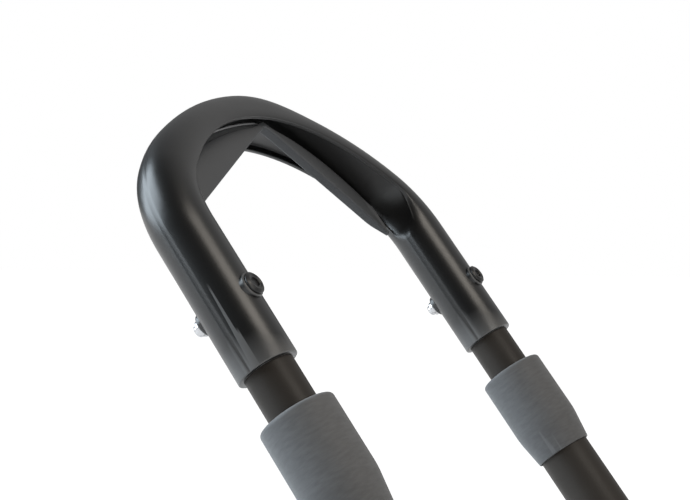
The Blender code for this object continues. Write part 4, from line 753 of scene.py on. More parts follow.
# Tray
def tray_corners():
    """Section of the channel, with grooves in its floor and outer walls and the T-slot below."""
    top, bottom = Vector((0.046, 0.097)), Vector((0.033, TRAY_UNDERSIDE))
    down = (bottom - top).normalized()
    inward = Vector((down.y, -down.x))
    wall = []
    groove = ((0.0, 0.0), (0.0003, 0.0004), (0.0009, 0.0004), (0.0012, 0.0))
    for reach, depth in ribs((0.0075, 0.0105, 0.0135), groove):
        spot = top + down * reach + inward * depth
        wall.append((spot.x, spot.y, 0.0001))
    half = [
        (0.0098, TRAY_FLOOR, 0.0003), (0.0103, TRAY_FLOOR - 0.0006, 0.0002),
        (0.0113, TRAY_FLOOR - 0.0006, 0.0002), (0.0118, TRAY_FLOOR, 0.0003),
        (TRAY_FLOOR_HALF, TRAY_FLOOR, 0.0012), (TRAY_MOUTH_HALF, TRAY_RIM, 0.0014),
        (TRAY_EDGE, TRAY_RIM, 0.0014), (TRAY_EDGE, 0.097, 0.0013), (0.046, 0.097, 0.0005),
    ]
    foot = [
        (0.033, TRAY_UNDERSIDE, 0.0016), (0.019, TRAY_UNDERSIDE, 0.0006), (0.019, TRAY_BOTTOM, 0.0010),
        (0.0065, TRAY_BOTTOM, 0.0005), (0.0065, SLOT_FLOOR, 0.0003), (SLOT_HALF, SLOT_FLOOR, 0.0003),
        (SLOT_HALF, TRAY_UNDERSIDE, 0.0003),
    ]
    return mirrored(half + wall + foot)


def build_tray():
    tray = pillow("tray_channel", cornered(tray_corners(), 3), -TRAY_HALF, TRAY_HALF, "X", 0.0004, steps=2)
    dress(even(tray), "base", "aluminium", "wheel_tray")
    outline = cornered(mirrored([
        (0.030, 0.078, 0.0025), (0.040, 0.1015, 0.0020), (0.0505, 0.1015, 0.0025), (0.0505, 0.0955, 0.0020),
        (0.0345, 0.0705, 0.0030), (0.0205, 0.0585, 0.0030),
    ]), 6)
    near = TRAY_HALF + CLEAR
    far = near + 0.005
    rim, half = 0.0030, SLOT_HALF - CLEAR
    face = [(far, rim), (far - 0.0002, rim + 0.0002), (far - 0.0007, rim + 0.0004)]
    plug = rectangle((-half, SLOT_FLOOR + CLEAR), (half, TRAY_UNDERSIDE - CLEAR))
    for word, side in (("front", -1), ("rear", 1)):
        cap = capped("end_cap_" + word, outline, side, "X", near, far, 0.0015, 5, face)
        reach = (side * (TRAY_HALF - 0.012), side * (near + 0.002))
        join(cap, pillow("plug", cornered(plug), *reach, "X", 0.0008))
        dress(even(cap), "base", "black_plastic", "tray_" + word + "_cap")


# Clamps
def jaw_corners(face, away, top):
    """L-shaped outline in x and z of a hook under the bar, with a ribbed lip."""
    groove = ((0.0, 0.0), (0.0006, 0.0008), (0.0016, 0.0008), (0.0022, 0.0))
    grooves = ribs((0.0060, 0.0110, 0.0160), groove)
    lip = [(face - away * reach, JAW_LIP - depth, 0.0002) for reach, depth in grooves]
    tip = face - away * JAW_LIP_LENGTH
    back = face + away * JAW_THICKNESS
    return [(face, top, 0.0004), (face, JAW_LIP, 0.0020)] + lip + [
        (tip, JAW_LIP, 0.0028), (tip, 0.0, 0.0024), (back, 0.0, 0.0060), (back, top, 0.0015),
    ]


def box(name, low, high, radius=0.0002):
    return pillow(name, cornered(rectangle(low, high, radius), 2), low[2], high[2], "Z", 0.0001, steps=1)


def screw_bore(jaw_y, low, high):
    return rod("screw_bore", SCREW_RADIUS + CLEAR, low, high, "X", (0, jaw_y, SCREW_Z), sides=40)


def clamp_cutters(bar_x, jaw_y, front, rear):
    """Guide of the moving jaw and bore of its screw."""
    side = JAW_HALF + CLEAR
    low = (front - JAW_THICKNESS, jaw_y - side, BAR_TOP)
    high = (bar_x - BAR_HALF + JAW_TRAVEL + CLEAR, jaw_y + side, PLATE_TOP + 0.004)
    return box("notch", low, high, 0.001), screw_bore(jaw_y, front - 0.02, rear + 0.01)


def build_clamp(word, bodies, nodes, bar_x, jaw_y, rear):
    """Moving jaw, screw with its thread, and lobed knob."""
    face = bar_x - BAR_HALF
    middle = face - JAW_THICKNESS / 2
    outline = cornered(jaw_corners(face, -1, PLATE_TOP))
    jaw = pillow("clamp_jaw_" + word, outline, jaw_y - JAW_HALF, jaw_y + JAW_HALF, "Y", 0.0014)
    low = (middle - NUT_POCKET[0], jaw_y - NUT_POCKET[1], SCREW_Z - NUT_POCKET[1])
    high = (middle + NUT_POCKET[0], jaw_y + NUT_POCKET[1], 0.07)
    cut(jaw, box("pocket", low, high), screw_bore(jaw_y, middle - 0.02, middle + 0.02))
    dress(even(jaw), bodies[0], "black_steel", nodes[0])
    build_screw("clamp_screw_" + word, bodies[1], nodes[1], face - JAW_THICKNESS, rear + KNOB_SOCKET, jaw_y)
    build_knob("clamp_knob_" + word, bodies[1], nodes[2], rear, jaw_y)


def build_screw(name, body, node, start, end, jaw_y):
    """Rod with a four-start thread over the jaw's travel."""
    pitch, starts, depth, threaded, sides = 0.001, 4, 0.0004, 0.062, 24
    rings = []
    steps = int(threaded / pitch * 4)
    for i in range(steps + 1):
        x = start + threaded * i / steps
        taper = 0.0005 * max(0.0, 1 - i / 4)
        ring = []
        for k, (c, s) in enumerate(round_about(sides)):
            phase = (i / 4 + starts * k / sides) % 1.0
            radius = SCREW_RADIUS - depth * abs(2 * phase - 1) - taper
            ring.append((x, radius * c, radius * s))
        rings.append(ring)
    for x in (start + threaded + 0.0004, end):
        rings.append([(x, SCREW_RADIUS * c, SCREW_RADIUS * s) for c, s in round_about(sides)])
    screw = loft(name, rings, Matrix.Translation((0, jaw_y, SCREW_Z)), sharp=60)
    dress(screw, body, "steel", node)


def build_knob(name, body, node, rear, jaw_y):
    """Knob with six lobes, a round hub and a sunk disc in its crown."""
    bore, inner = SCREW_RADIUS + CLEAR, 0.0115
    hub = CLEAR + KNOB_HUB[1]
    end = hub + KNOB_LENGTH
    stations = [
        (KNOB_SOCKET + 0.0006, bore, 0.0), (CLEAR, bore, 0.0), (CLEAR, KNOB_HUB[0] - 0.0006, 0.0),
        (CLEAR + 0.0006, KNOB_HUB[0], 0.0), (hub, KNOB_HUB[0], 0.0),
        (hub + 0.0001, KNOB_RADIUS - 0.0028, 0.7),
    ]
    stations += [(hub + depth, KNOB_RADIUS - inset, 1.0) for depth, inset in reversed(edge_curve(0.0022, 5))]
    crown = edge_curve(0.0045, 8)
    stations += [(end - depth, KNOB_RADIUS - inset, 1.0 - inset * 60) for depth, inset in crown]
    sunk = ((0.0, 0.0006), (0.0003, 0.0002), (0.0010, 0.0), (0.0010, -0.0006), (0.0006, -0.0011))
    stations += [(end - depth, inner + step, 0.0) for depth, step in sunk] + [(end - 0.0003, 0.004, 0.0)]
    sides, lobes, lobe_depth = 120, 6, 0.0022
    rings = []
    for x, radius, lobe in stations:
        ring = []
        for k, (c, s) in enumerate(round_about(sides)):
            scallop = ((1 - cos(lobes * (2 * pi * k / sides))) / 2) ** 1.4
            r = radius - lobe_depth * lobe * scallop
            ring.append((x, r * c, r * s))
        rings.append(ring)
    dress(even(loft(name, rings, Matrix.Translation((rear, jaw_y, SCREW_Z)))), body, "black_plastic", node)


def build_bar_pad(name, body, node, bar_x, low, high):
    """Rubber strip with grooves across its underside."""
    start = bar_x - BAR_HALF + JAW_TRAVEL + CLEAR
    end = bar_x + BAR_HALF - CLEAR
    corners = [(start, BAR_TOP, 0.0006)]
    pitch, width, depth = 0.004, 0.0014, 0.0011
    for i in range(int((end - start - pitch) / pitch)):
        x = start + pitch * (i + 1)
        corners += [
            (x, BAR_TOP, 0.0003), (x + 0.0002, BAR_TOP + depth, 0.0002),
            (x + width - 0.0002, BAR_TOP + depth, 0.0002), (x + width, BAR_TOP, 0.0003),
        ]
    corners += [(end, BAR_TOP, 0.0006), (end, BAR_TOP + 0.004, 0.0006), (start, BAR_TOP + 0.004, 0.0006)]
    pad = pillow(name, cornered(corners, 2), low, high, "Y", 0.0005, steps=2)
    dress(even(pad), body, "rubber", node)


def bolt_bore(x):
    profile = [(0.0058, BAR_TOP), (0.0058, 0.0501), (0.0033, 0.0501), (0.0033, TRAY_FLOOR)]
    return lathe("bolt_bore", profile, Matrix.Translation((x, 0, 0)), 48)


def build_plate_bolt(name, body, node, x):
    """Socket-head bolt, seen from below."""
    head = 0.0498
    profile = [
        (0.0050, PLATE_BOTTOM), (0.0055, PLATE_BOTTOM + 0.0006, 0.0004), (0.0055, head, 0.0002),
        (0.0030, head), (0.0030, 0.0714),
    ]
    bolt = lathe(name, profile, Matrix.Translation((x, 0, 0)), 64)
    cut(bolt, rod("hexagon", 0.0029, PLATE_BOTTOM - 0.001, PLATE_BOTTOM + 0.0022, "Z", (x, 0, 0), sides=6))
    dress(even(bolt), body, "steel", node)


# Base
def fixed_hook(bar_x, jaw_y):
    outline = cornered(jaw_corners(bar_x + BAR_HALF, 1, PLATE_BOTTOM + 0.003))
    return pillow("fixed_hook", outline, jaw_y - JAW_HALF, jaw_y + JAW_HALF, "Y", 0.0014)


def build_base():
    plate = [
        (BASE_FRONT, -BASE_HALF, 0.010), (BASE_REAR, -BASE_HALF, 0.003),
        (BASE_REAR, BASE_HALF, 0.003), (BASE_FRONT, BASE_HALF, 0.010),
    ]
    base = pillow("base_casting", cornered(plate, 6), PLATE_BOTTOM, PLATE_TOP, "Z", 0.0016)
    ear = hull(EAR_CIRCLES)
    for side in SIDES.values():
        join(base, pillow("ear", ear, side * EAR_INNER, side * EAR_OUTER, "Y", 0.0016))
        join(base, fixed_hook(FRONT_BAR_X, side * FRONT_JAW_Y))
    for side in SIDES.values():
        cut(base, *clamp_cutters(FRONT_BAR_X, side * FRONT_JAW_Y, BASE_FRONT, BASE_REAR))
    cut(
        base,
        rod("bore", BUSH_RADIUS + CLEAR, -0.08, 0.08, "Y", PIVOT),
        rod("pin_bore", LEVER_BORE, 0.061, 0.08, "Y", LEVER_PIN, sides=40),
        bolt_bore(BASE_BOLT_X),
    )
    dress(even(base), "base", "black_aluminium", "base_housing")
    build_plate_bolt("bolt_base", "base", "base_bolt", BASE_BOLT_X)
    for word, side in SIDES.items():
        jaw_y = side * FRONT_JAW_Y
        bodies = ("jaw_front_" + word, "knob_front_" + word)
        nodes = ("front_jaw_" + word, "front_screw_" + word, "front_knob_" + word)
        build_clamp("front_" + word, bodies, nodes, FRONT_BAR_X, jaw_y, BASE_REAR)
        ends = (jaw_y - JAW_HALF, jaw_y + JAW_HALF)
        build_bar_pad("pad_bar_front_" + word, "base", "front_bar_pad_" + word, FRONT_BAR_X, *ends)
        build_cover(word, side)
        bore, near, flange, far = AXLE_RADIUS + CLEAR, side * 0.0505, side * 0.0517, side * EAR_OUTER
        profile = [
            (bore, near), (0.0138, near, 0.0004), (0.0138, flange, 0.0004), (BUSH_RADIUS, flange),
            (BUSH_RADIUS, far), (bore, far),
        ]
        bush = lathe("bush_" + word, profile, along("Y", PIVOT), 72, ring=True)
        dress(even(bush), "base", "bush_polymer", "axle_bush_" + word)


def build_cover(word, side):
    """Moulded shell over the ear, with a shadow groove, a collar round the axle and two screws."""
    outline = hull(COVER_CIRCLES, 160)
    groove, sink = 0.0060, 0.0006
    face = [
        (BASE_HALF, groove), (BASE_HALF - sink, groove + 0.0003), (BASE_HALF - sink, groove + 0.0009),
        (BASE_HALF, groove + 0.0012), (BASE_HALF, 0.0105),
    ]
    cover = capped("cover_shell_" + word, outline, side, "Y", COVER_START, BASE_HALF, 0.0032, 7, face)
    hollow = [(side * y, outline(COVER_WALL)) for y in (EAR_OUTER, BASE_HALF - COVER_WALL)]
    cut(cover, stacked("hollow", hollow, "Y"))
    collar = [
        (0.0080, side * 0.0955), (0.0122, side * 0.0955), (0.0122, side * 0.0978, 0.0007),
        (0.0080, side * 0.0978),
    ]
    join(cover, lathe("collar", collar, along("Y", PIVOT), ring=True))
    cutters = [rod("axle_bore", AXLE_MOUTH, *span(side, 0.06, 0.11), "Y", PIVOT)]
    if word == "left":
        shield = [(0.0080, 0.0955), (0.0108, 0.0955), (0.0106, 0.0976, 0.0006), (0.0080, 0.0976)]
        join(cover, lathe("shield", shield, along("Y", LOCK_PLACE), ring=True))
        cutters.append(rod("lock_bore", LOCK_RADIUS + CLEAR, 0.088, 0.11, "Y", LOCK_PLACE))
        slot = rectangle((-0.1620, 0.0762), (-0.129, 0.1090), 0.002)
        cutters.append(pillow("slot", cornered(slot), LEVER_Y - 0.0051, LEVER_Y + 0.0051, "Y", 0.001))
    for x, z in COVER_SCREWS:
        cutters.append(rod("screw_seat", 0.0036, *span(side, 0.0957, 0.11), "Y", (x, 0, z)))
    cut(cover, *cutters)
    dress(even(cover), "base", "black_plastic", "side_cover_" + word)
    for (x, z), end in zip(COVER_SCREWS, ("front", "rear")):
        place = along("Y", (x, 0, z))
        head = [
            (0.0016, side * 0.0704), (0.0016, side * 0.0958), (0.0033, side * 0.0958),
            (0.0033, side * 0.0966, 0.0003), (0.0028, side * 0.0970, 0.0003), (0.0010, side * 0.0970),
        ]
        screw = lathe("cover_screw_" + word + "_" + end, head, place, 40)
        cut(screw, rod("hexagon", 0.0016, *span(side, 0.0962, 0.11), "Y", (x, 0, z), sides=6))
        dress(even(screw), "base", "steel")


def build_lock_and_lever():
    face = 0.098
    profile = [
        (LOCK_RADIUS, 0.077), (LOCK_RADIUS, face - 0.0007, 0.0003), (LOCK_RADIUS - 0.0007, face, 0.0003),
        (0.0060, face), (0.0058, face - 0.0004), (0.0052, face - 0.0004), (0.0050, face, 0.0001),
        (0.0010, face),
    ]
    lock = lathe("lock_core", profile, along("Y", LOCK_PLACE), 80)
    key = cornered(rectangle((-0.0040, -0.0009), (0.0040, 0.0009), 0.0003))
    place = Matrix.Translation(LOCK_PLACE)
    cut(lock, pillow("key_slot", key, face - 0.005, face + 0.005, "Y", 0.0001, place))
    dress(even(lock), "lock", "steel", "lock_cylinder")
    place = Matrix.Translation(LEVER_PIN)
    ends = (LEVER_Y - LEVER_HALF, LEVER_Y + LEVER_HALF)
    hub = (0.0, 0.0, 0.0065)
    lever = pillow("lever_release", hull([hub, (*LEVER_TAB, 0.004)]), *ends, "Y", 0.0013, place)
    join(lever, pillow("pawl", hull([hub, (*LEVER_NOSE, 0.0025)]), *ends, "Y", 0.0005, place))
    slope = atan2(LEVER_TAB[1], LEVER_TAB[0]) - asin(0.0025 / hypot(*LEVER_TAB))
    for k in range(4):
        back = 0.0028 * k
        spot = Vector((
            LEVER_TAB[0] - sin(slope) * 0.0040 - back * cos(slope),
            0.0,
            LEVER_TAB[1] + cos(slope) * 0.0040 - back * sin(slope),
        ))
        ridge = hull([(0.0, 0.0, 0.0008)], 16)
        sides = (LEVER_Y - 0.0034, LEVER_Y + 0.0034)
        join(lever, pillow("ridge", ridge, *sides, "Y", 0.0006, place @ Matrix.Translation(spot), 2))
    cut(lever, rod("bore", LEVER_BORE, ends[0] - 0.01, ends[1] + 0.01, "Y", LEVER_PIN, sides=40))
    dress(even(lever), "lever", "grey_plastic", "release_lever")
    build_spring()


def build_spring():
    """Torsion spring round the lever's pin, with a straight leg at each end."""
    wire, turns, rise, leg = 0.0006, 2.5, 0.0015, 0.007
    radius = SCREW_RADIUS + CLEAR + wire
    start = (EAR_OUTER + LEVER_Y - LEVER_HALF) / 2 - turns * rise / 2
    steps = int(turns * 28)
    path = [LEVER_PIN + Vector((radius, start, -leg * share)) for share in (1.0, 0.66, 0.33)]
    for k in range(steps + 1):
        turn = 2 * pi * turns * k / steps
        spot = (radius * cos(turn), start + turns * rise * k / steps, radius * sin(turn))
        path.append(LEVER_PIN + Vector(spot))
    end = path[-1]
    path += [end + Vector((0.0, 0.0, -leg * share)) for share in (0.33, 0.66, 1.0)]
    spring = sweep("spring_wire", path, [wire] * len(path), Vector((0, 1, 0)), WORLD, 12)
    dress(spring, "base", "steel", "lever_spring")


# Pivot and arm
def build_pivot():
    hole = SCREW_RADIUS + CLEAR
    end = -AXLE_HALF
    profile = [(hole, end + 0.0145), (hole, end), (AXLE_RADIUS - 0.0005, end), (AXLE_RADIUS, end + 0.0005)]
    axle = lathe("pivot_axle", both_ends(profile), along("Y", PIVOT), 72)
    dress(even(axle), "arm", "steel", "arm_axle")
    radius, height = AXLE_CAP
    for word, side in SIDES.items():
        start = AXLE_HALF + CLEAR
        profile = [
            (SCREW_RADIUS - 0.0004, start - 0.014), (SCREW_RADIUS, start - 0.0135), (SCREW_RADIUS, start),
            (radius, start, 0.0003), (radius, start + height * 0.35, 0.0004),
            (radius * 0.86, start + height * 0.40, 0.0005), (radius * 0.72, start + height * 0.86, 0.0022),
            (0.0060, start + height, 0.0008), (0.0044, start + height, 0.0003),
            (0.0040, start + height - 0.0003),
        ]
        profile = [(corner[0], side * corner[1], *corner[2:]) for corner in profile]
        cap = lathe("pivot_cap_" + word, profile, along("Y", PIVOT), 80, steps=5)
        ends = span(side, start + height - 0.0026, start + height + 0.01)
        cut(cap, rod("hexagon", 0.0035, *ends, "Y", PIVOT, sides=6))
        dress(even(cap), "arm", "steel", "axle_cap_" + word)
        build_yoke(word, side)


def build_yoke(word, side):
    """Eye on the axle with a neck that flares to the tube, and a rivet through the spigot."""
    leg = side * LEG_Y
    sunk = -YOKE_HALF + 0.0012
    profile = [
        (AXLE_MOUTH, sunk), (0.0132, sunk, 0.0004), (0.0136, -YOKE_HALF, 0.0004),
        (YOKE_EYE, -YOKE_HALF, 0.0024),
    ]
    yoke = lathe("yoke_" + word, both_ends(profile), along("Y", PIVOT + Vector((0, leg, 0))), steps=6)
    neck = [
        (0.0110, 0.0095), (0.0126, 0.0120), (0.0128, 0.0240, 0.0040), (OUTER_RADIUS, 0.0292, 0.0024),
        (OUTER_RADIUS, OUTER_BOTTOM - CLEAR, 0.0003), (0.0123, OUTER_BOTTOM - CLEAR), (0.0123, 0.0744),
        (0.0117, 0.0750),
    ]
    join(yoke, lathe("neck", neck, on_leg(side), steps=6))
    cut(yoke, rod("bore", AXLE_RADIUS + CLEAR, leg - 0.03, leg + 0.03, "Y", PIVOT))
    dress(even(yoke), "arm", "black_aluminium", "arm_yoke_" + word)
    for end, sign in (("inner", -1), ("outer", 1)):
        reach = OUTER_RADIUS - 0.0004
        head = [
            (0.0034, sign * reach), (0.0034, sign * (reach + 0.0006), 0.0003),
            (0.0026, sign * (reach + 0.0013), 0.0008), (0.0004, sign * (reach + 0.0015)),
        ]
        rivet = lathe("tube_rivet_" + word + "_" + end, head, on_leg(side, "Y", 0.052), 40, steps=5)
        dress(rivet, "arm", "black_steel")


# Cradle
def build_cradle():
    bore, end = AXLE_RADIUS + CLEAR, CRADLE_BARREL_HALF
    profile = [
        (CRADLE_BARREL, -end, 0.0010), (CRADLE_BARREL, end, 0.0010), (bore, end, 0.0004),
        (bore, -end, 0.0004),
    ]
    cradle = lathe("cradle_frame", profile, CRADLE @ along("Y"), ring=True)
    foot = 0.0104
    path = [Vector((0, -CRADLE_HALF, foot)), Vector((0, -CRADLE_HALF, CRADLE_BEND / 2))]
    bend = 48
    for k in range(bend + 1):
        turn = pi * k / bend
        path.append(Vector((0, -CRADLE_HALF * cos(turn), CRADLE_BEND + CRADLE_HALF * sin(turn))))
    path += [Vector((0, CRADLE_HALF, CRADLE_BEND / 2)), Vector((0, CRADLE_HALF, foot))]
    join(cradle, sweep("hoop", path, [CRADLE_TUBE] * len(path), Vector((1, 0, 0)), CRADLE, 48))
    for sign in (-1, 1):
        join(cradle, weld_bead(sign * CRADLE_HALF))
    dress(even(cradle), "cradle", "black_aluminium", "wheel_cradle")
    build_cradle_pad()


def weld_bead(y):
    """Rippled bead where a tube of the hoop meets the barrel."""
    steps, reach, ripples = 96, CRADLE_TUBE + 0.0004, 26
    path, radii = [], []
    for k in range(steps):
        turn = 2 * pi * k / steps
        x = reach * cos(turn)
        path.append(Vector((x, y + reach * sin(turn), sqrt((CRADLE_BARREL + 0.0002) ** 2 - x * x))))
        radii.append(0.0013 + 0.00012 * cos(ripples * turn))
    return sweep("bead", path, radii, Vector((0, 0, 1)), CRADLE, 12, True)


def pad_section(inset, groove):
    """Section of the pad in y and x: hollow towards the tyre, open between the tubes."""
    half = []
    steps = 12
    for k in range(steps + 1):
        share = k / steps
        y = CRADLE_HALF * share
        half.append((y, PAD_FRONT - PAD_HORN * share ** 2 + groove * min(1.0, (1 - share) * 8), 0.0))
    half += [
        (0.048, -0.0246, 0.0050), (0.048, 0.012, 0.0060), (0.022, 0.012, 0.0030), (0.022, -0.008, 0.0030),
    ]
    return rounded(offset(half[:0:-1] + [(-a, b, r) for a, b, r in half], inset), 6)


def build_cradle_pad():
    shape = ((0.0, 0.0), (0.0005, 0.75), (0.0011, 1.0), (0.0017, 0.75), (0.0022, 0.0))
    stations = ribbed(CRADLE_BEND - PAD_LENGTH, CRADLE_BEND, 0.0035, 6, 0.0055, 0.0070, 9, 0.0013, shape)
    rings = [[(x, y, z) for y, x in pad_section(inset, groove)] for z, inset, groove in stations]
    pad = loft("pad_wheel", rings, CRADLE, sharp=50)
    for sign in (-1, 1):
        cut(pad, rod("tube_bore", CRADLE_TUBE + CLEAR, 0.1, 0.3, "Z", (0, sign * CRADLE_HALF, 0), CRADLE))
    dress(even(pad), "cradle", "grey_soft_touch", "cradle_pad")


# Rear slider, chock and strap
def build_rear_slider():
    plate = rectangle((REAR_FRONT, REAR_OUTER_Y), (REAR_REAR, REAR_INNER_Y), 0.006)
    slider = pillow("slider_plate", cornered(plate, 6), PLATE_BOTTOM, PLATE_TOP, "Z", 0.0016)
    join(slider, fixed_hook(REAR_BAR_X, REAR_JAW_Y))
    cut(slider, *clamp_cutters(REAR_BAR_X, REAR_JAW_Y, REAR_FRONT, REAR_REAR), bolt_bore(REAR_BAR_X))
    dress(even(slider), "rear_clamp", "black_aluminium", "rear_slider")
    build_plate_bolt("bolt_slider", "rear_clamp", "rear_slider_bolt", REAR_BAR_X)
    nodes = ("rear_jaw", "rear_screw", "rear_knob")
    build_clamp("rear", ("jaw_rear", "knob_rear"), nodes, REAR_BAR_X, REAR_JAW_Y, REAR_REAR)
    build_bar_pad("pad_bar_rear", "rear_clamp", "rear_bar_pad", REAR_BAR_X, 0.0095, REAR_INNER_Y)


def build_chock():
    """Block in the channel with a ribbed valley for the tyre and arms over both rims."""
    body = [
        (0.004, 0.0841, 0.004), (0.0132, 0.087, 0.0050), (0.022, 0.093, 0.0040), (0.0344, CHOCK_TOP, 0.0030),
        (0.040, CHOCK_TOP, 0.0015), (0.040, 0.0950, 0.0010), (0.0296, 0.0753, 0.0016),
    ]
    outline = cornered(mirrored(body), 5)
    ends = (CHOCK_X - CHOCK_HALF, CHOCK_X + CHOCK_HALF)
    shape = ((0.0, 0.0), (0.0006, 0.8), (0.0011, 1.0), (0.0019, 1.0), (0.0024, 0.8), (0.0030, 0.0))
    stations = ribbed(*ends, 0.0025, 5, 0.0038, 0.006, 14, 0.0009, shape)
    rings = []
    for x, inset, lift in stations:
        ring = []
        for y, z in outline(inset):
            share = min(1.0, max(0.0, (0.0300 - abs(y)) * 200)) if z > 0.080 else 0.0
            ring.append((x, y, z + lift * share))
        rings.append(ring)
    chock = loft("chock_block", rings, sharp=40)
    top = CHOCK_TOP - 0.0003
    arms = [
        (0.020, 0.0850, 0.0020), (0.0355, top, 0.0020), (CHOCK_OUTER, top, 0.0040),
        (CHOCK_OUTER, 0.0863, 0.0016), (0.0496, 0.0863, 0.0010), (0.0496, 0.1003, 0.0004),
        (0.0424, 0.1003, 0.0006), (0.0300, 0.0765, 0.0010),
    ]
    ends = (CHOCK_X - CHOCK_ARM_HALF, CHOCK_X + CHOCK_ARM_HALF)
    join(chock, pillow("arms", cornered(mirrored(arms), 5), *ends, "X", 0.0016))
    peg = [
        (0.0040, 0.0515), (0.0040, 0.0582), (0.0056, 0.0582, 0.0003), (0.0056, 0.0590, 0.0005),
        (0.0044, 0.0598, 0.0006), (0.0004, 0.0598),
    ]
    join(chock, lathe("peg", peg, along("Y", (CHOCK_X, 0, PEG_Z)), 56))
    dress(even(chock), "chock", "black_plastic", "wheel_chock")
    build_strap()
    build_buckle()


def strap_route():
    """Middle line of the strap in y and z with the distance run to each point."""
    middle, half = (STRAP_LEFT + STRAP_RIGHT) / 2, (STRAP_LEFT - STRAP_RIGHT) / 2
    route = [Vector((STRAP_LEFT, STRAP_FOOT)), Vector((STRAP_LEFT, STRAP_STRAIGHT))]
    steps = 120
    for k in range(1, steps):
        turn = pi * k / steps
        route.append(Vector((middle + half * cos(turn), STRAP_STRAIGHT + STRAP_RISE * sin(turn))))
    route += [Vector((STRAP_RIGHT, STRAP_STRAIGHT)), Vector((STRAP_RIGHT, STRAP_TAIL))]
    runs = [0.0]
    for before, after in zip(route, route[1:]):
        runs.append(runs[-1] + (after - before).length)
    return route, runs


def walk(route, runs, distance):
    distance = min(max(distance, 0.0), runs[-1])
    for i in range(1, len(runs)):
        if runs[i] >= distance:
            share = (distance - runs[i - 1]) / (runs[i] - runs[i - 1])
            return route[i - 1].lerp(route[i], share)
    return route[-1]


def build_strap():
    """Ladder strap: a flat band with a row of teeth down its middle and rounded ends."""
    route, runs = strap_route()
    length = runs[-1]
    pitch, tooth, peg_end, tail_end = 0.005, 0.0009, 0.007, 0.0123
    stations = [(peg_end * (1 - cos(pi / 2 * k / 6)), 0.0) for k in range(7)]
    distance, plain_step = peg_end + 0.004, 0.004
    while distance < length * 0.42:
        stations.append((distance, 0.0))
        distance += plain_step
    while distance < length - tail_end - pitch:
        stations += ribs([distance], ((0.0, 0.0), (0.0005, tooth), (0.0024, tooth), (0.0030, 0.0)))
        distance += pitch
    stations += [(length - tail_end * cos(pi / 2 * k / 8), 0.0) for k in range(9)]
    half = STRAP_THICKNESS / 2
    rings = []
    for distance, lift in stations:
        place = walk(route, runs, distance)
        ahead = (walk(route, runs, distance + 0.0008) - walk(route, runs, distance - 0.0008)).normalized()
        out = Vector((ahead.y, -ahead.x))
        width = STRAP_HALF
        for reach, near in ((peg_end, distance), (tail_end, length - distance)):
            if near < reach:
                width = STRAP_HALF - reach + sqrt(max(0.0, reach ** 2 - (reach - near) ** 2))
        width = max(width, 0.0015)
        inner = max(min(0.0080, width - 0.0030), 0.0004)
        outer = min(inner + 0.0005, width - 0.0009)
        corner = [(width, half - 0.0009), (width - 0.0003, half - 0.0003), (width - 0.0009, half)]
        top = corner + [(outer, half), (inner, half + lift)]
        band = top + [(-x, n) for x, n in reversed(top)]
        band += [(-x, -n) for x, n in corner] + [(x, -n) for x, n in reversed(corner)]
        rings.append([(CHOCK_X + x, place.x + out.x * n, place.y + out.y * n) for x, n in band])
    strap = loft("strap_ladder", rings, sharp=40)
    cut(strap, rod("hole", 0.0043, 0.050, 0.062, "Y", (CHOCK_X, 0, PEG_Z), sides=48))
    dress(even(strap), "chock", "strap_rubber", "wheel_strap")


def build_buckle():
    """Frame with two cheeks, and a lever with a ribbed grip."""
    wall, mouth, plate = -0.0548, -0.0723, 0.002
    inner, outer = 0.0134, 0.0158
    half = [
        (outer, wall, 0.0006), (outer, mouth, 0.0006), (inner, mouth, 0.0006), (inner, wall - plate, 0.0005),
    ]
    low, high = 0.0923, 0.1223
    corners = [(CHOCK_X + x, y, r) for x, y, r in mirrored(half)]
    frame_piece = pillow("buckle_body", cornered(corners, 3), low, high, "Z", 0.0006)
    foot, top, tip = low - 0.001, high + 0.001, mouth - 0.0005
    trim = cornered([
        (wall + 0.002, foot, 0.001), (-0.0630, foot, 0.003), (tip, low + 0.0075, 0.005),
        (tip, high - 0.0075, 0.005), (-0.0630, top, 0.003), (wall + 0.002, top, 0.001),
    ])
    boolean(frame_piece, "INTERSECT", pillow("trim", trim, CHOCK_X - 0.02, CHOCK_X + 0.02, "X", 0.0001))
    ends = (BUCKLE_PIN.x - 0.03, BUCKLE_PIN.x + 0.03)
    cut(frame_piece, rod("pin_bore", BUCKLE_BORE, *ends, "X", (0, BUCKLE_PIN.y, BUCKLE_PIN.z), sides=32))
    dress(even(frame_piece), "chock", "grey_plastic", "buckle_frame")

    place = Matrix.Translation(BUCKLE_PIN)
    circles = [(0.0, 0.0, 0.0045), (-0.0034, 0.010, 0.0030), (-0.0030, 0.028, 0.0025)]
    lever = pillow("lever_buckle", hull(circles, 96), -0.0127, 0.0127, "X", 0.0012, place)
    for k in range(4):
        ridge = [(-0.0055, 0.0150 + 0.0034 * k, 0.0008)]
        join(lever, pillow("ridge", hull(ridge, 16), -0.0095, 0.0095, "X", 0.0006, place, 2))
    cut(lever, rod("bore", BUCKLE_BORE, *ends, "X", (0, BUCKLE_PIN.y, BUCKLE_PIN.z), sides=32))
    dress(even(lever), "buckle", "grey_soft_touch", "buckle_lever")


for build in (
    build_hook, build_saddle, build_legs, build_tray, build_base, build_lock_and_lever, build_pivot,
    build_cradle, build_rear_slider, build_chock,
):
    build()


# Carried-over solids
SOFTENED = {
    "base_slot_nut": 0.0006, "rear_slot_nut": 0.0006, "front_jaw_nut_left": 0.0005,
    "front_jaw_nut_right": 0.0005, "rear_jaw_nut": 0.0005, "lever_pin": 0.0004,
    "buckle_pin": 0.0003, "arm_ratchet": 0.0003,
}
NODE_LOOKS = {entry["node"]: entry["material_slot"] for entry in frame["record"]["subparts"]}
for node, solid in frame["nodes"].items():
    solid.data.materials.clear()
    solid.data.materials.append(LOOKS[NODE_LOOKS[node]])
    if node in SOFTENED:
        soften(solid, SOFTENED[node])


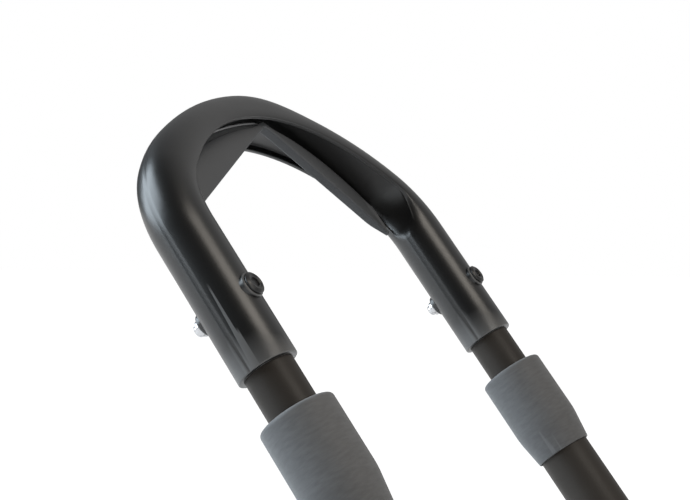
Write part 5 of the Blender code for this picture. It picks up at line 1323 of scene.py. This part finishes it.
# Camera of the photograph
PHOTO_WIDTH = 690
FOCAL_PIXELS = 1375.5
camera_data = bpy.data.cameras.new("camera")
camera_data.sensor_width = 36.0
camera_data.lens = FOCAL_PIXELS / PHOTO_WIDTH * camera_data.sensor_width
camera_data.shift_y = -9.0 / PHOTO_WIDTH
camera_data.clip_start = 0.01
camera = add_object("camera", camera_data)
camera.location = (-0.2458, -0.6018, 0.6541)
camera.rotation_euler = (radians(90.32), 0.0, radians(29.54))
bpy.context.scene.camera = camera


# Floor, world and lamps
def build_floor():
    """Grey floor that the camera and reflections see as white, and that keeps the object's shadow."""
    size = 30.0
    corners = [(-size, -size, 0), (size, -size, 0), (size, size, 0), (-size, size, 0)]
    floor = add_mesh("floor", corners, [(0, 1, 2, 3)])
    tree, shader = start_material("floor", (0.50, 0.50, 0.50), 0.9)
    cloudy = mix_colour(tree, noise(tree, 1.5, 2.0), (0.49, 0.49, 0.49), (0.51, 0.51, 0.51))
    feed(tree, shader, {"Base Color": cloudy, "Specular IOR Level": 0.0})
    rays = {0: ray_kind(tree, "Is Camera Ray"), 1: ray_kind(tree, "Is Glossy Ray")}
    seen = add_node(tree, "Math", rays, operation="MAXIMUM")
    place = add_node(tree, "TexCoord", {}, "Object")
    away = add_node(tree, "VectorMath", {0: place}, "Value", operation="LENGTH")
    lift = add_node(tree, "Math", {0: seen, 1: ramp(tree, away, 0.70, 1.0, 1.2, 3.0)}, operation="MULTIPLY")
    glow = add_node(tree, "Emission", {"Strength": lift})
    both = add_node(tree, "AddShader", {0: shader.outputs[0], 1: glow})
    feed(tree, tree.nodes["Material Output"], {"Surface": both})
    floor.data.materials.append(LOOKS["floor"])


def ray_kind(tree, kind):
    return add_node(tree, "LightPath", {}, kind)


def build_world():
    """White behind everything; what lights the object is darker on the side of the photograph's camera."""
    world = bpy.data.worlds.new("studio")
    bpy.context.scene.world = world
    world.use_nodes = True
    tree = world.node_tree
    tree.nodes.clear()
    place = add_node(tree, "TexCoord", {}, "Generated")
    brightest = (0.18, 0.85, 0.50)
    towards = add_node(tree, "VectorMath", {0: place, 1: brightest}, "Value", operation="DOT_PRODUCT")
    white = (1.0, 1.0, 1.0, 1.0)
    level = ramp(tree, towards, 0.05, 0.56, 0.35, 1.0)
    room = add_node(tree, "Background", {"Color": white, "Strength": level})
    backdrop = add_node(tree, "Background", {"Color": white, "Strength": 1.0})
    pick = add_node(tree, "MixShader", {0: ray_kind(tree, "Is Camera Ray"), 1: room, 2: backdrop})
    feed(tree, tree.nodes.new("ShaderNodeOutputWorld"), {"Surface": pick})


def add_lamp(name, place, target, width, height, watts, colour):
    data = bpy.data.lights.new(name, "AREA")
    data.shape = "RECTANGLE"
    data.size = width
    data.size_y = height
    data.energy = watts
    data.color = colour
    lamp = add_object(name, data)
    lamp.location = place
    lamp.rotation_euler = (Vector(target) - Vector(place)).to_track_quat("-Z", "Y").to_euler()
    lamp.visible_camera = False


build_floor()
build_world()
add_lamp("key", (0.62, -0.22, 2.15), (-0.5, 0.0, 0.5), 1.0, 0.6, 10.5, (1.0, 0.93, 0.84))
add_lamp("right", (1.10, -0.55, 1.30), (-0.5, 0.0, 0.5), 0.9, 0.6, 7.0, (1.0, 0.97, 0.91))
add_lamp("left", (-1.95, -0.75, 1.35), (-0.62, -0.11, 0.68), 1.5, 1.5, 48.0, (0.80, 0.91, 1.0))

bpy.context.scene.view_settings.view_transform = "Standard"
